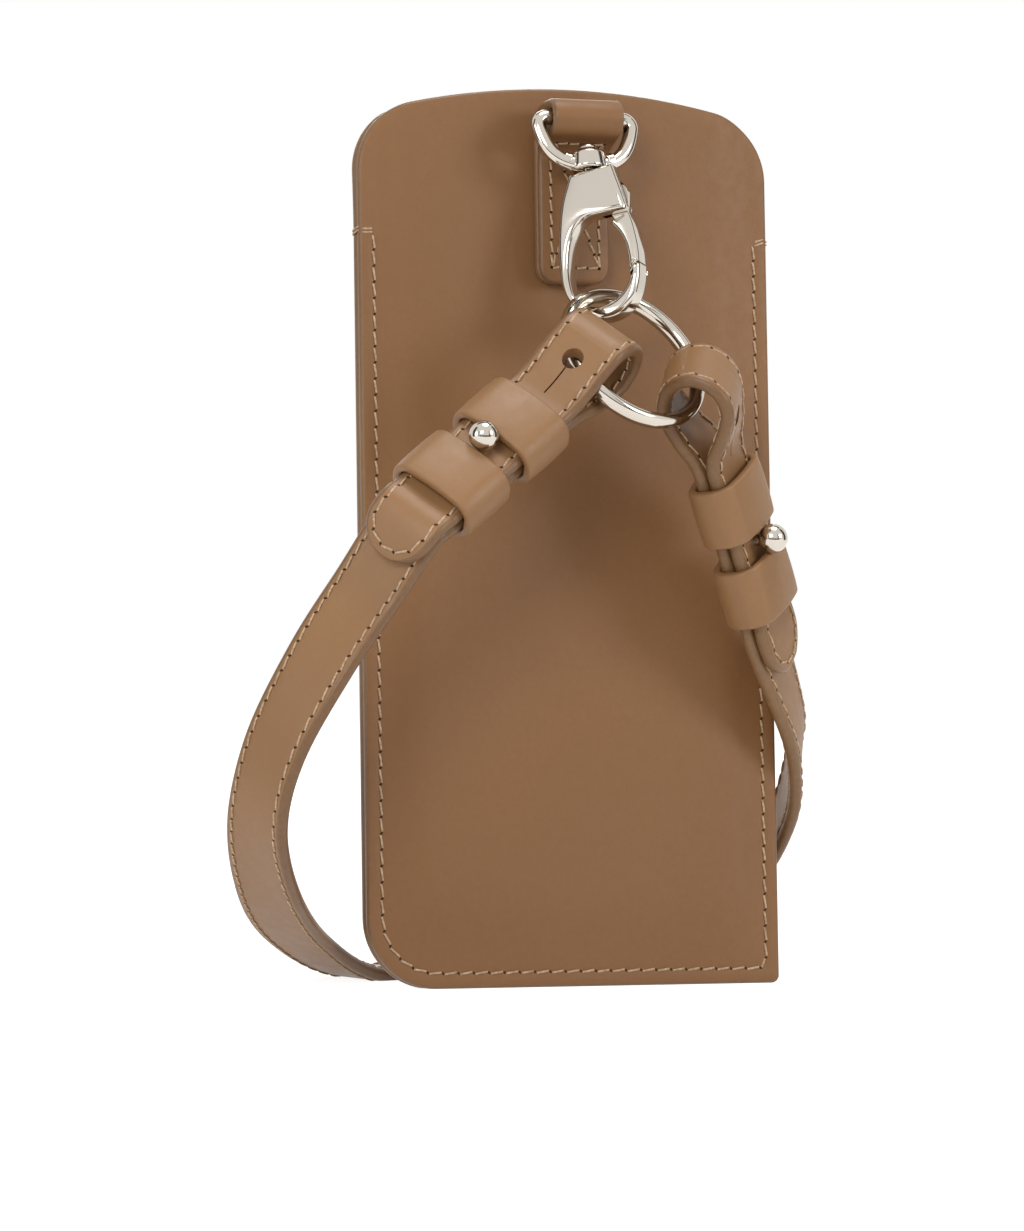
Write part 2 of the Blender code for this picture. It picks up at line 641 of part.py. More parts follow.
def middle_line():
    """The line midway between the strap's band and the layer that lies on it."""
    points, nears = [], []
    marks = {}
    for side in ("left", "right"):
        start_at, run, near, _ = end_frame(side)
        neck = stud_distance(side) - KEEPER_FAR - KEEPER_TRAVEL
        last = stud_distance(side) + KEEPER_FAR + 2.4 * KEEPER_TRAVEL
        count = 8
        stretch = [start_at + run * (neck + (last - neck) * step / count) for step in range(count + 1)]
        marks[side] = (stretch, [near] * (count + 1))
    route = [(Vector((x * POUCH_WIDTH, y * STRAP_REACH, z * POUCH_HEIGHT)), Vector(near))
             for (x, y, z), near in LEFT_ROUTE_SHARES]
    route += [(on_floor(x * POUCH_WIDTH, y * STRAP_REACH), Vector((near[0], near[1], near[1] * math.tan(LEAN))))
              for (x, y), near in FLOOR_ROUTE_SHARES]
    route += [(Vector((x * POUCH_WIDTH, y * STRAP_REACH, z * POUCH_HEIGHT)), Vector(near))
              for (x, y, z), near in RIGHT_ROUTE_SHARES]
    left_points, left_nears = marks["left"]
    right_points, right_nears = marks["right"]
    bend = [left_points[-2], left_points[-1]] + [place for place, _ in route]
    bend += [right_points[-1], right_points[-2]]
    turn = [left_nears[-2], left_nears[-1]] + [near for _, near in route] + [right_nears[-1], right_nears[-2]]
    curve = smooth(bend, 8)
    curve_near = smooth(turn, 8)
    points = left_points[:-2] + curve + list(reversed(right_points[:-2]))
    nears = left_nears[:-2] + curve_near + list(reversed(right_nears[:-2]))
    return resample(points, nears)


def resample(points, nears):
    """Even steps along a line, with a near direction square to it at each."""
    lengths = [0.0]
    for first, second in zip(points, points[1:]):
        lengths.append(lengths[-1] + (second - first).length)
    count = max(2, round(lengths[-1] / STRAP_STEP))
    found = []
    index = 0
    for step in range(count + 1):
        wanted = lengths[-1] * step / count
        while index < len(lengths) - 2 and lengths[index + 1] < wanted:
            index += 1
        span = max(lengths[index + 1] - lengths[index], WELD)
        share = (wanted - lengths[index]) / span
        found.append((points[index].lerp(points[index + 1], share),
                      nears[index].lerp(nears[index + 1], share)))
    return square_up([place for place, _ in found], [near for _, near in found])


def square_up(points, nears):
    """The running, near and outward directions at each point of a line."""
    result = []
    for index, place in enumerate(points):
        before = points[max(index - 1, 0)]
        after = points[min(index + 1, len(points) - 1)]
        run = (after - before).normalized()
        near = (nears[index] - run * nears[index].dot(run)).normalized()
        result.append((place, run, near, run.cross(near)))
    return result


def loop_points(side):
    """The fold round the ring, from the outer layer's neck to the band's neck."""
    end = ENDS[side]
    start_at, run, near, outward = end_frame(side)
    neck = stud_distance(side) - KEEPER_FAR - KEEPER_TRAVEL
    half = LAYER_PITCH / 2.0
    radius = end["rise_share"] * STRAP_WIDTH
    middle = radius - end["crest_share"] * STRAP_WIDTH
    reach = math.hypot(neck - middle, half)
    touch_deg = math.degrees(math.atan2(half, neck - middle) + math.acos(radius / reach))
    bend = arc((middle, 0.0), radius, touch_deg, 180.0, 7)
    slope = [(neck + (bend[0][0] - neck) * share, half + (bend[0][1] - half) * share) for share in (0.3, 0.62)]
    slope[0] = (slope[0][0], slope[0][1] - 0.08 * radius)
    before = (neck + KEEPER_TRAVEL, half)
    shape = [before, (neck, half)] + slope + bend
    shape += [(along, -out) for along, out in reversed(shape[:-1])]
    found = smooth(shape, 2)[2:-2]
    loop_near = end["loop_near"].normalized()
    points, nears = [], []
    for along, out in found:
        turned_share = ease((neck - along) / (neck - middle))
        points.append(start_at + run * along + outward * out)
        nears.append(near.lerp(loop_near, turned_share))
    return points, nears


def strap_line():
    """The strap's own middle line from one tongue tip to the other."""
    line = middle_line()
    half = LAYER_PITCH / 2.0
    points, nears = [], []
    marks = {}
    for side, order in (("left", line), ("right", list(reversed(line)))):
        tongue = []
        walked = 0.0
        wanted = KEEPER_FAR + KEEPER_TRAVEL + ENDS[side]["tongue_share"] * STRAP_WIDTH
        for (place, _, near, outward), (after, _, _, _) in zip(order, order[1:]):
            tongue.append((place + half * outward, near))
            walked += (after - place).length
            if walked > wanted:
                break
        marks[side] = tongue
    left_loop, left_nears = loop_points("left")
    right_loop, right_nears = loop_points("right")
    points = [place for place, _ in reversed(marks["left"])] + left_loop[1:-1]
    nears = [near for _, near in reversed(marks["left"])] + left_nears[1:-1]
    points += [place - half * outward for place, _, _, outward in line]
    nears += [near for _, _, near, _ in line]
    points += list(reversed(right_loop[1:-1])) + [place for place, _ in marks["right"]]
    nears += list(reversed(right_nears[1:-1])) + [near for _, near in marks["right"]]
    return points, nears


def tip_width(distance):
    """Half the strap's width at a distance from a rounded tip."""
    if distance >= TIP_RADIUS:
        return STRAP_WIDTH / 2.0
    share = max(distance, TIP_RADIUS * 0.04) / TIP_RADIUS
    return STRAP_WIDTH / 2.0 * math.sqrt(1.0 - (1.0 - share) ** 2)


def place_along(points, nears, wanted):
    """The point and near direction at a distance along a line from its first point."""
    walked = 0.0
    for index in range(len(points) - 1):
        span = (points[index + 1] - points[index]).length
        if walked + span >= wanted:
            share = (wanted - walked) / span
            break
        walked += span
    return points[index].lerp(points[index + 1], share), nears[index].lerp(nears[index + 1], share)


def with_tips(points, nears):
    """The strap's line with closer steps at its two tips, and its half widths."""
    for _ in range(2):
        kept = 0
        reach = 0.0
        while reach <= TIP_RADIUS:
            reach += (points[kept + 1] - points[kept]).length
            kept += 1
        first = [place_along(points, nears, TIP_RADIUS * share) for share in (0.0, 0.05, 0.15, 0.32, 0.55, 0.8)]
        points = list(reversed([place for place, _ in first] + points[kept:]))
        nears = list(reversed([near for _, near in first] + nears[kept:]))
    walked = [0.0]
    for first, second in zip(points, points[1:]):
        walked.append(walked[-1] + (second - first).length)
    halves = [tip_width(min(place, walked[-1] - place)) for place in walked]
    return points, nears, halves


def strap():
    """The strap's two plies, with a hole at each stud and a spare buttonhole."""
    points, nears = strap_line()
    points, nears, halves = with_tips(points, nears)
    places = square_up(points, nears)
    pitch = (STRAP_PLY + PLY_GAP) / 2.0
    holes = []
    for side in ("left", "right"):
        start_at, run, near, outward = end_frame(side)
        turn = Matrix((run, near, run.cross(near))).transposed().to_4x4()
        at_stud = Matrix.Translation(start_at + run * stud_distance(side)) @ turn
        hole = cylinder_mesh(STUD_HOLE, 2.0 * LAYER_PITCH + 2.0 * CUT_OVERRUN, 16)
        holes.append(cutter("stud_hole_" + side, hole, "pouch", at_stud))
        neck = stud_distance(side) - KEEPER_FAR - KEEPER_TRAVEL
        rise = ENDS[side]["rise_share"] * STRAP_WIDTH
        spare = start_at + run * HOLE_SHARE * neck + outward * (rise + STRAP_THICKNESS / 2.0)
        hole = cylinder_mesh(BUTTONHOLE, 2.0 * rise, 16)
        holes.append(cutter("spare_hole_" + side, hole, "pouch", Matrix.Translation(spare) @ turn))
    for name, shift, finish in (("strap_face_ply", -pitch, "leather"), ("strap_back_ply", pitch, "lining")):
        made = ribbon(name, [place for place, _, _, _ in places], [near for _, _, near, _ in places],
                      [out for _, _, _, out in places], halves, shift, STRAP_PLY, finish, "pouch")
        for hole in holes:
            combine(made, hole, "DIFFERENCE")


def keepers():
    """Two leather keepers on each end of the strap."""
    inner_half = (STRAP_WIDTH / 2.0 + FIT_GAP, STRAP_THICKNESS + 1.5 * FIT_GAP)
    outer_half = (inner_half[0] + KEEPER_WALL, inner_half[1] + KEEPER_WALL)
    for side in ("left", "right"):
        start_at, run, near, outward = end_frame(side)
        turn = Matrix((near, run, near.cross(run))).transposed().to_4x4()
        for place, sign in (("upper", -1.0), ("lower", 1.0)):
            middle = stud_distance(side) + sign * (STUD_GAP + KEEPER_LENGTH / 2.0)
            loops = [rounded_box(outer_half, KEEPER_CORNER), rounded_box(inner_half, KEEPER_CORNER - KEEPER_WALL)]
            mesh = outline_mesh(loops, KEEPER_LENGTH)
            put("keeper_" + side + "_" + place, mesh, "leather", "pouch",
                Matrix.Translation(start_at + run * middle) @ turn)


def rounded_box(half, corner):
    """A rounded rectangle."""
    points = []
    for index, (x, z) in enumerate(((1.0, 1.0), (-1.0, 1.0), (-1.0, -1.0), (1.0, -1.0))):
        centre = (x * (half[0] - corner), z * (half[1] - corner))
        points += arc(centre, corner, 90.0 * index, 90.0 * index + 90.0, 4)
    return points


def studs():
    """A ball stud through each end of the strap, and the screw behind it."""
    top = STRAP_THICKNESS + FIT_GAP / 2.0
    radius = STUD_BALL / 2.0
    neck = STUD_NECK / 2.0
    join_deg = math.degrees(math.asin(neck / radius))
    ball_centre = top + STUD_NECK_HEIGHT + radius * math.cos(math.radians(join_deg))
    ball = []
    for step in range(9):
        angle = math.radians((180.0 - join_deg) * step / 8.0)
        ball.append((radius * math.sin(angle), ball_centre + radius * math.cos(angle)))
    shank_foot = -top + FIT_GAP
    head = SCREW_HEAD / 2.0
    head_top = -top - FIT_GAP
    for side in ("left", "right"):
        start_at, run, near, outward = end_frame(side)
        turn = Matrix((near, outward.cross(near), outward)).transposed().to_4x4()
        place = Matrix.Translation(start_at + run * stud_distance(side)) @ turn
        turned("stud_ball_" + side, ball + [(neck, shank_foot), (0.0, shank_foot)], "nickel", "pouch", place)
        screw = [(0.0, head_top), (head, head_top), (head, head_top - SCREW_HEAD_HEIGHT * 0.5),
                 (head * 0.7, head_top - SCREW_HEAD_HEIGHT), (0.0, head_top - SCREW_HEAD_HEIGHT)]
        turned("stud_screw_" + side, screw, "nickel", "pouch", place)


groups = {}
frames = {}
materials = {}

start()
pouch()
tab()
eye()
hook()
ring()
strap()
keepers()
studs()
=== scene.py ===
"""The looks of the mini bag: smooth tan leather, polished nickel and pale lock stitching.

Shapes are worked out in the pouch's own upright frame, in metres, and are then
tipped back with the pouch. Leather pieces are swept or cut sheets with painted
edges. Metal pieces are turned, wired or cast shapes with rounded edges.
"""
import math
from bisect import bisect_right

import bmesh
import bpy
from mathutils import Matrix, Vector
from mathutils.geometry import delaunay_2d_cdt


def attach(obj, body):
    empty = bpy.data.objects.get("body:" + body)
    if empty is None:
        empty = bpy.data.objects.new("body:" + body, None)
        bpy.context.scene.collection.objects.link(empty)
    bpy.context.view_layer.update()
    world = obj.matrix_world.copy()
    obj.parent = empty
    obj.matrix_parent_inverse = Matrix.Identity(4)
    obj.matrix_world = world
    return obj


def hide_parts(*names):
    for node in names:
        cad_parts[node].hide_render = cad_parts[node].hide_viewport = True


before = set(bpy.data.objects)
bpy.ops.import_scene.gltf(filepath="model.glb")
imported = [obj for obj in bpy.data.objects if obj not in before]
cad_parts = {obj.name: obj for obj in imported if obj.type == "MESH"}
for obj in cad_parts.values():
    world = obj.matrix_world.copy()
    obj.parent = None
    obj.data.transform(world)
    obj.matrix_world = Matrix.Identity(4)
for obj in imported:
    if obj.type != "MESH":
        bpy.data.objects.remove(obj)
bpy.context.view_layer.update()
bpy.ops.object.select_all(action="DESELECT")

MM = 0.001
LEAN = math.radians(5.0)
LEANED = Matrix.Rotation(-LEAN, 4, "X")
FIT_GAP = 0.3 * MM
TINY = 0.01 * MM

# Pouch
POUCH_WIDTH = 92.0 * MM
POUCH_HEIGHT = 190.0 * MM
PANEL_PLY = 2.2 * MM
SEAM_WIDTH = 4.2 * MM
SIDE_RUN = 8.0 * MM
BOTTOM_RUN = 14.0 * MM
FRONT_BULGE = 1.2 * MM
REAR_BULGE = 7.6 * MM
MOUTH_DROP = 32.0 * MM
MOUTH_FLARE = 2.2 * MM
ROUND_CORNER = 15.0 * MM
SHARP_CORNER = 1.6 * MM
SHOULDER_RADIUS = 15.0 * MM
TOP_ARCH = 3.4 * MM
SEAM_INSET = 3.2 * MM
SEAM_DIP = 0.14 * MM
SEAM_DIP_HALF_WIDTH = 0.9 * MM
PANEL_EDGE = 0.75 * MM
PANEL_EDGE_STEPS = (0.0, 0.04, 0.16, 0.36, 0.66, 1.0)
PANEL_GRID = 3.0 * MM
PANEL_GRID_SQUEEZE = 0.97
PANEL_GRID_MARGIN = 1.1 * MM
OUTLINE_STEP = 3.0 * MM
TACK_GAP = 0.7 * MM

# Tab
TAB_WIDTH = 15.6 * MM
TAB_PLY = 2.0 * MM
TAB_REACH = 42.0 * MM
TAB_CORNER = 3.5 * MM
TAB_EDGE = 0.7 * MM
TAB_STEP = 0.8 * MM
TAB_BOX_LOW = 3.2 * MM
TAB_BOX_HIGH = 32.4 * MM
TAB_BOX_INSET = 2.5 * MM
TAB_STITCH_PITCH = 3.0 * MM
LOOP_DEPTH = 10.4 * MM
LOOP_DROP = 8.0 * MM
BAR_CLEARANCE = 0.45 * MM

# Clasp eye, post, hook and gate
EYE_WIRE = 3.2 * MM
EYE_WIDTH = 24.3 * MM
EYE_CORNER = 1.9 * MM
EYE_FULLNESS = 0.06
EYE_SWING = math.radians(13.0)
BOSS_WIDTH = 7.8 * MM
BOSS_HEIGHT = 4.4 * MM
BOSS_FLATNESS = 0.96
COLLAR_LENGTH = 1.6 * MM
POST_DIAMETER = 2.6 * MM
POST_HEAD_DIAMETER = 4.4 * MM
POST_HEAD_HEIGHT = 1.5 * MM
POST_HEAD_RIM = 0.25 * MM
POST_SINK = 2.6 * MM
HOOK_LENGTH = 33.1 * MM
HOOK_WIDTH = 19.2 * MM
HOOK_THICKNESS = 5.0 * MM
HOOK_EDGE = 1.05 * MM
HOOK_BAR = 2.8 * MM
HOOK_TURN = math.radians(-45.0)
SLOT_THICKNESS = 2.8 * MM
SLOT_OVERRUN = 2.0 * MM
GATE_TONGUE = 1.0 * MM
TONGUE_PLAY = 0.2 * MM
GATE_THICKNESS = 4.6 * MM
GATE_EDGE = 0.9 * MM
KNUCKLE_RADIUS = 2.3 * MM

# O-ring
RING_RADIUS = 16.0 * MM
RING_RADIAL = 3.0 * MM
RING_AXIAL = 3.8 * MM
RING_SIDE = 1.1 * MM
RING_SEAT_GAP = 1.4 * MM

# Strap, keepers and studs
STRAP_WIDTH = 16.0 * MM
STRAP_PLY = 1.25 * MM
STRAP_STEP = 1.4 * MM
STRAP_EDGE = 1.15 * MM
TIP_RADIUS = 7.6 * MM
TIP_STEPS = (0.0, 0.006, 0.02, 0.045, 0.08, 0.13, 0.2, 0.29, 0.4, 0.53, 0.68, 0.84)
STRAP_REACH = 40.0 * MM
BUTTONHOLE = 4.4 * MM
SLIT_LENGTH = 7.0 * MM
SLIT_WIDTH = 0.34 * MM
SLIT_OVERLAP = 0.3 * MM
STRAP_SEAM_INSET = 2.0 * MM
KEEPER_LENGTH = 13.0 * MM
KEEPER_WALL = 2.0 * MM
KEEPER_TRAVEL = 3.0 * MM
KEEPER_EDGE = 0.65 * MM
KEEPER_CROWN = 0.8 * MM
KEEPER_SWELL = 0.22 * MM
KEEPER_BEND_IN = 2.0 * MM
KEEPER_BEND_OUT = 4.6 * MM
STUD_BALL = 6.2 * MM
STUD_NECK = 2.6 * MM
STUD_NECK_HEIGHT = 1.2 * MM
SCREW_HEAD = 5.0 * MM
SCREW_HEAD_HEIGHT = 1.0 * MM
STUD_GAP = 2.9 * MM

# Thread and needle holes. A stitch is a row of ovals: each has its place as a share of the pitch,
# then its rise and its size as shares of the thread's thickness
STITCH_PITCH = 3.4 * MM
THREAD = 0.48 * MM
THREAD_FLATNESS = 0.8
THREAD_SIDES = 8
STITCH_SLANT = 0.16
STITCH_SHAPE = (
    (-0.42, -0.45, 0.7), (-0.40, 0.0, 0.9), (-0.30, 0.30, 1.0), (0.0, 0.40, 1.0),
    (0.30, 0.30, 1.0), (0.40, 0.0, 0.9), (0.42, -0.45, 0.7),
)
HOLE_LENGTH = 0.85 * MM
HOLE_BREADTH = 0.5 * MM
HOLE_RISE = 0.06 * MM
HOLE_DEPTH = 0.6 * THREAD
HOLE_TILT = 0.9
HOLE_SIDES = 10
STRAP_THREAD_SINK = 0.02 * MM
TAB_THREAD_SINK = 0.03 * MM

# Places that follow from the sizes
PANEL_PITCH = PANEL_PLY + FIT_GAP
MOUTH_BOTTOM = POUCH_HEIGHT - MOUTH_DROP
STRAP_THICKNESS = 2.0 * STRAP_PLY + FIT_GAP
LAYER_PITCH = STRAP_THICKNESS + FIT_GAP
TAB_BACK = -(PANEL_PLY / 2.0 + FRONT_BULGE + FIT_GAP)
BAR_Y = TAB_BACK - TAB_PLY - LOOP_DEPTH + EYE_WIRE / 2.0
BAR_CENTRE = Vector((0.0, BAR_Y, POUCH_HEIGHT - LOOP_DROP))
TAB_BOTTOM = POUCH_HEIGHT - TAB_REACH
EYE_RADIUS = (EYE_WIDTH - EYE_WIRE) / 2.0
BOSS_BOTTOM = EYE_RADIUS + EYE_WIRE / 2.0 - FIT_GAP
HOOK_TOP = BOSS_BOTTOM + FIT_GAP
RING_TOP_DROP = HOOK_TOP + HOOK_LENGTH - HOOK_BAR - RING_SEAT_GAP - RING_RADIAL / 2.0
KEEPER_FAR = STUD_GAP + KEEPER_LENGTH
EYE_PLACE = Matrix.Translation(BAR_CENTRE) @ Matrix.Rotation(-EYE_SWING, 4, "X")
HOOK_PLACE = EYE_PLACE @ Matrix.Rotation(HOOK_TURN, 4, "Z")

# How each end of the strap lies. Across, lift, rise, crest, stud and tongue are shares of its width
RING_NORMAL = Vector((0.285, -0.81, 0.512)).normalized()
ENDS = {
    "left": {
        "ring_deg": 180.0, "run": Vector((-0.764, -0.222, -0.606)),
        "near": Vector((0.609, -0.538, -0.582)), "loop_near": Vector((0.609, -0.538, -0.582)),
        "across": 0.175, "lift": -0.105, "rise": 0.41, "crest": 0.575, "stud": 2.03, "tongue": 2.0,
    },
    "right": {
        "ring_deg": 318.0, "run": Vector((0.393, 0.301, -0.869)),
        "near": Vector((-0.643, -0.585, -0.494)), "loop_near": Vector((-0.42, -0.715, -0.561)),
        "across": -0.04, "lift": 0.08, "rise": 0.45, "crest": 0.50, "stud": 2.04, "tongue": 1.95,
    },
}
BUTTONHOLE_SHARE = 0.3

# The strap's route: places in shares of the pouch's width, the strap's reach and the pouch's
# height, each with the direction of the strap's near edge
LEFT_ROUTE = (
    ((-0.632, -1.050, 0.432), (0.60, -0.62, -0.50)),
    ((-0.744, -1.010, 0.353), (0.56, -0.71, -0.42)),
    ((-0.836, -0.870, 0.260), (0.47, -0.81, -0.33)),
    ((-0.848, -0.640, 0.180), (0.40, -0.88, -0.20)),
    ((-0.768, -0.220, 0.105), (0.42, -0.90, -0.05)),
    ((-0.630, 0.270, 0.050), (0.42, -0.90, 0.0)),
)
FLOOR_ROUTE = (
    ((-0.430, 0.660), (0.36, -0.93, 0.0)),
    ((-0.163, 0.820), (0.12, -1.0, 0.0)),
    ((0.130, 0.830), (-0.15, -1.0, 0.0)),
    ((0.340, 0.780), (-0.30, -0.95, 0.0)),
)
RIGHT_ROUTE = (
    ((0.468, 0.690, 0.068), (-0.24, -0.96, -0.05)),
    ((0.552, 0.500, 0.128), (-0.16, -0.96, -0.18)),
    ((0.588, 0.270, 0.192), (-0.18, -0.93, -0.30)),
    ((0.582, 0.080, 0.244), (-0.30, -0.86, -0.38)),
    ((0.550, -0.100, 0.290), (-0.50, -0.76, -0.40)),
)

# Outlines of the hook and the gate, in shares of the hook's half width and of its length
HOOK_OUTER = (
    (-0.40, 0.0), (-0.665, 0.19), (-0.80, 0.39), (-0.855, 0.58), (-0.82, 0.72), (-0.70, 0.83), (-0.40, 0.935),
    (0.0, 0.995), (0.30, 1.0), (0.60, 0.97), (0.85, 0.90), (1.0, 0.79), (1.05, 0.692),
)
HOOK_NOSE = ((0.985, 0.694),)
HOOK_INNER = (
    (0.80, 0.768), (0.70, 0.82), (0.48, 0.88), (0.15, 0.912), (-0.15, 0.905), (-0.42, 0.86), (-0.58, 0.79),
    (-0.64, 0.69), (-0.625, 0.58), (-0.53, 0.45), (-0.38, 0.37), (-0.18, 0.325), (0.04, 0.311), (0.30, 0.312),
)
HOOK_PLATE = ((0.83, 0.315), (0.86, 0.295), (0.75, 0.15), (0.62, 0.0))
GATE_OUTER = ((0.90, 0.335), (0.965, 0.40), (1.01, 0.48), (1.045, 0.575), (1.045, 0.680))
GATE_END = ((0.975, 0.683), (0.80, 0.752))
GATE_INNER = ((0.80, 0.70), (0.80, 0.635), (0.755, 0.545), (0.645, 0.46), (0.46, 0.385))
PIN_SHARE = (0.62, 0.19)
SLOT_LEFT = 0.22
SLOT_LOW = 0.345

# Sizes of the patterns in the materials. Real pores, fibres and flecks are some tenths of a
# millimetre across, and are drawn coarser here so that they show in the render
HIDE_CLOUD = 111.11 * MM
HIDE_FLECK = 1.1111 * MM
HIDE_FIBRE = 2.38095 * MM
POLISH_HAZE = 6.25 * MM
THREAD_TWIST = 0.625 * MM


# Materials
def linear(text):
    """A linear colour from an sRGB hex value."""
    parts = [int(text[place:place + 2], 16) / 255.0 for place in (1, 3, 5)]
    return tuple(c / 12.92 if c <= 0.04045 else ((c + 0.055) / 1.055) ** 2.4 for c in parts) + (1.0,)


def add(tree, kind, links=(), stops=(), **settings):
    """One node with its settings, its colour stops and the links into it."""
    node = tree.nodes.new(kind)
    for name, value in settings.items():
        if name.startswith("in_"):
            key = name[3:]
            node.inputs[int(key) if key.isdigit() else key.replace("_", " ")].default_value = value
        else:
            setattr(node, name, value)
    if stops:
        ramp = node.color_ramp.elements
        ramp[0].position, ramp[1].position = stops[0][0], stops[-1][0]
        for place, _ in stops[1:-1]:
            ramp.new(place)
        for point, (_, colour) in zip(ramp, stops):
            point.color = linear(colour)
    for socket, source in links:
        tree.links.new(source, node.inputs[socket])
    return node


def material(name, **sockets):
    """A node material, its tree and its Principled shader with constant sockets set."""
    made = bpy.data.materials.new(name)
    made.use_nodes = True
    shader = made.node_tree.nodes["Principled BSDF"]
    for socket, value in sockets.items():
        shader.inputs[socket.replace("_", " ")].default_value = value
    return made, made.node_tree, shader


def leather(name, dark, middle, light, roughness, grain_mm, depth_mm):
    """Calf leather, drum-dyed: fine pores, a soft sheen, faint clouding."""
    made, tree, shader = material(name, IOR=1.45)
    depth = depth_mm * MM
    where = add(tree, "ShaderNodeTexCoord").outputs["Object"]
    cloud = add(tree, "ShaderNodeTexNoise", [("Vector", where)], in_Scale=1.0 / HIDE_CLOUD, in_Detail=2.0)
    fleck = add(tree, "ShaderNodeTexNoise", [("Vector", where)], in_Scale=1.0 / HIDE_FLECK, in_Detail=2.0)
    both = add(tree, "ShaderNodeMix", [(2, cloud.outputs["Fac"]), (3, fleck.outputs["Fac"])], in_0=0.22)
    stops = [(0.36, dark), (0.5, middle), (0.64, light)]
    tint = add(tree, "ShaderNodeValToRGB", [(0, both.outputs[0])], stops)
    tree.links.new(tint.outputs["Color"], shader.inputs["Base Color"])
    pores = add(tree, "ShaderNodeTexVoronoi", [("Vector", where)], in_Scale=1.0 / (grain_mm * MM))
    low = add(tree, "ShaderNodeBump", [("Height", pores.outputs["Distance"])],
              in_Strength=0.25, in_Distance=depth)
    fibre = add(tree, "ShaderNodeTexNoise", [("Vector", where)], in_Scale=1.0 / HIDE_FIBRE, in_Detail=4.0)
    bump = add(tree, "ShaderNodeBump", [("Height", fibre.outputs["Fac"]), ("Normal", low.outputs[0])],
               in_Strength=0.25, in_Distance=depth)
    tree.links.new(bump.outputs[0], shader.inputs["Normal"])
    rough = add(tree, "ShaderNodeMapRange", [("Value", fibre.outputs["Fac"])],
                in_1=0.3, in_2=0.7, in_3=roughness - 0.05, in_4=roughness + 0.05)
    tree.links.new(rough.outputs[0], shader.inputs["Roughness"])
    return made


def metal(name, colour, roughness, mottle):
    """Polished or drawn metal, with a trace of polishing haze."""
    made, tree, shader = material(name, Base_Color=linear(colour), Metallic=1.0)
    where = add(tree, "ShaderNodeTexCoord").outputs["Object"]
    haze = add(tree, "ShaderNodeTexNoise", [("Vector", where)], in_Scale=1.0 / POLISH_HAZE, in_Detail=3.0)
    rough = add(tree, "ShaderNodeMapRange", [("Value", haze.outputs["Fac"])],
                in_1=0.3, in_2=0.7, in_3=roughness, in_4=roughness + mottle)
    tree.links.new(rough.outputs[0], shader.inputs["Roughness"])
    return made


def thread(name, colour, shadow):
    """Bonded polyester sewing thread, two plies twisted."""
    made, tree, shader = material(name, Roughness=0.6)
    where = add(tree, "ShaderNodeTexCoord").outputs["Object"]
    twist = add(tree, "ShaderNodeTexNoise", [("Vector", where)], in_Scale=1.0 / THREAD_TWIST, in_Detail=1.0)
    tint = add(tree, "ShaderNodeValToRGB", [(0, twist.outputs["Fac"])], [(0.35, shadow), (0.65, colour)])
    tree.links.new(tint.outputs["Color"], shader.inputs["Base Color"])
    bump = add(tree, "ShaderNodeBump", [("Height", twist.outputs["Fac"])],
               in_Strength=0.4, in_Distance=0.05 * MM)
    tree.links.new(bump.outputs[0], shader.inputs["Normal"])
    return made


# Calf leather with a smooth aniline finish: the light rolls off it softly, without a hard shine
TAN = leather("tan_calf_leather", "#815A36", "#855D38", "#89613B", 0.52, 0.55, 0.05)
# The same hide's strap butt, a shade paler and glossier where it was drawn and rubbed
STRAP_TAN = leather("tan_strap_leather", "#906A45", "#946D47", "#99724B", 0.46, 0.55, 0.05)
# Cut edges sealed with a water-based edge paint: a little darker, smoother and shinier
EDGE = leather("painted_leather_edge", "#775537", "#80603F", "#8A6846", 0.4, 1.2, 0.03)
# The flesh side, split and skived: dry, greyer and without a shine
FLESH = leather("split_leather_flesh_side", "#6F5747", "#7A6251", "#866E5B", 0.78, 0.8, 0.12)
# Zinc casting, polished and nickel plated: warm, near-mirror, with crisp highlights
NICKEL = metal("polished_nickel_plate", "#CDC5B9", 0.09, 0.04)
# Drawn spring steel wire, unpolished: grey, with soft wide highlights
STEEL = metal("drawn_spring_steel", "#A6A4A0", 0.26, 0.1)
# Bonded thread: pale and matt, so that each stitch stands out from the leather
THREAD_TAN = thread("bonded_polyester_thread", "#CDAF8F", "#A78969")
# Painted shade for the inside of a needle hole, which is leather in the dark: a small brown-black dot
HOLE = leather("needle_hole_shadow", "#38220F", "#402815", "#482F1B", 0.95, 0.5, 0.01)


# Making and finishing pieces
def linked(made):
    """An object, put into the scene."""
    bpy.context.scene.collection.objects.link(made)
    return made


def held(data):
    """A working object for a mesh or curve, the only one selected."""
    made = linked(bpy.data.objects.new("work", data))
    bpy.ops.object.select_all(action="DESELECT")
    made.select_set(True)
    bpy.context.view_layer.objects.active = made
    return made


def taken(work):
    """The mesh of a working object, which is then removed."""
    mesh = work.data
    bpy.data.objects.remove(work)
    return mesh


def finished(name, mesh, body, materials, stands_for=(), place=LEANED, smooth_deg=38.0):
    """A finished piece: placed in its mesh, smoothed, ridden and given its materials."""
    mesh.name = name
    mesh.transform(place)
    made = linked(bpy.data.objects.new(name, mesh))
    for index, entry in enumerate(materials):
        if index < len(mesh.materials):
            mesh.materials[index] = entry
        else:
            mesh.materials.append(entry)
    bpy.ops.object.select_all(action="DESELECT")
    made.select_set(True)
    bpy.context.view_layer.objects.active = made
    bpy.ops.object.shade_smooth_by_angle(angle=math.radians(smooth_deg))
    made.select_set(False)
    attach(made, body)
    if stands_for:
        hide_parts(*stands_for)


def closed_mesh(work, name="work"):
    """The mesh of a bmesh whose shape is complete, with its faces turned outwards."""
    bmesh.ops.recalc_face_normals(work, faces=work.faces)
    mesh = bpy.data.meshes.new(name)
    work.to_mesh(mesh)
    work.free()
    return mesh


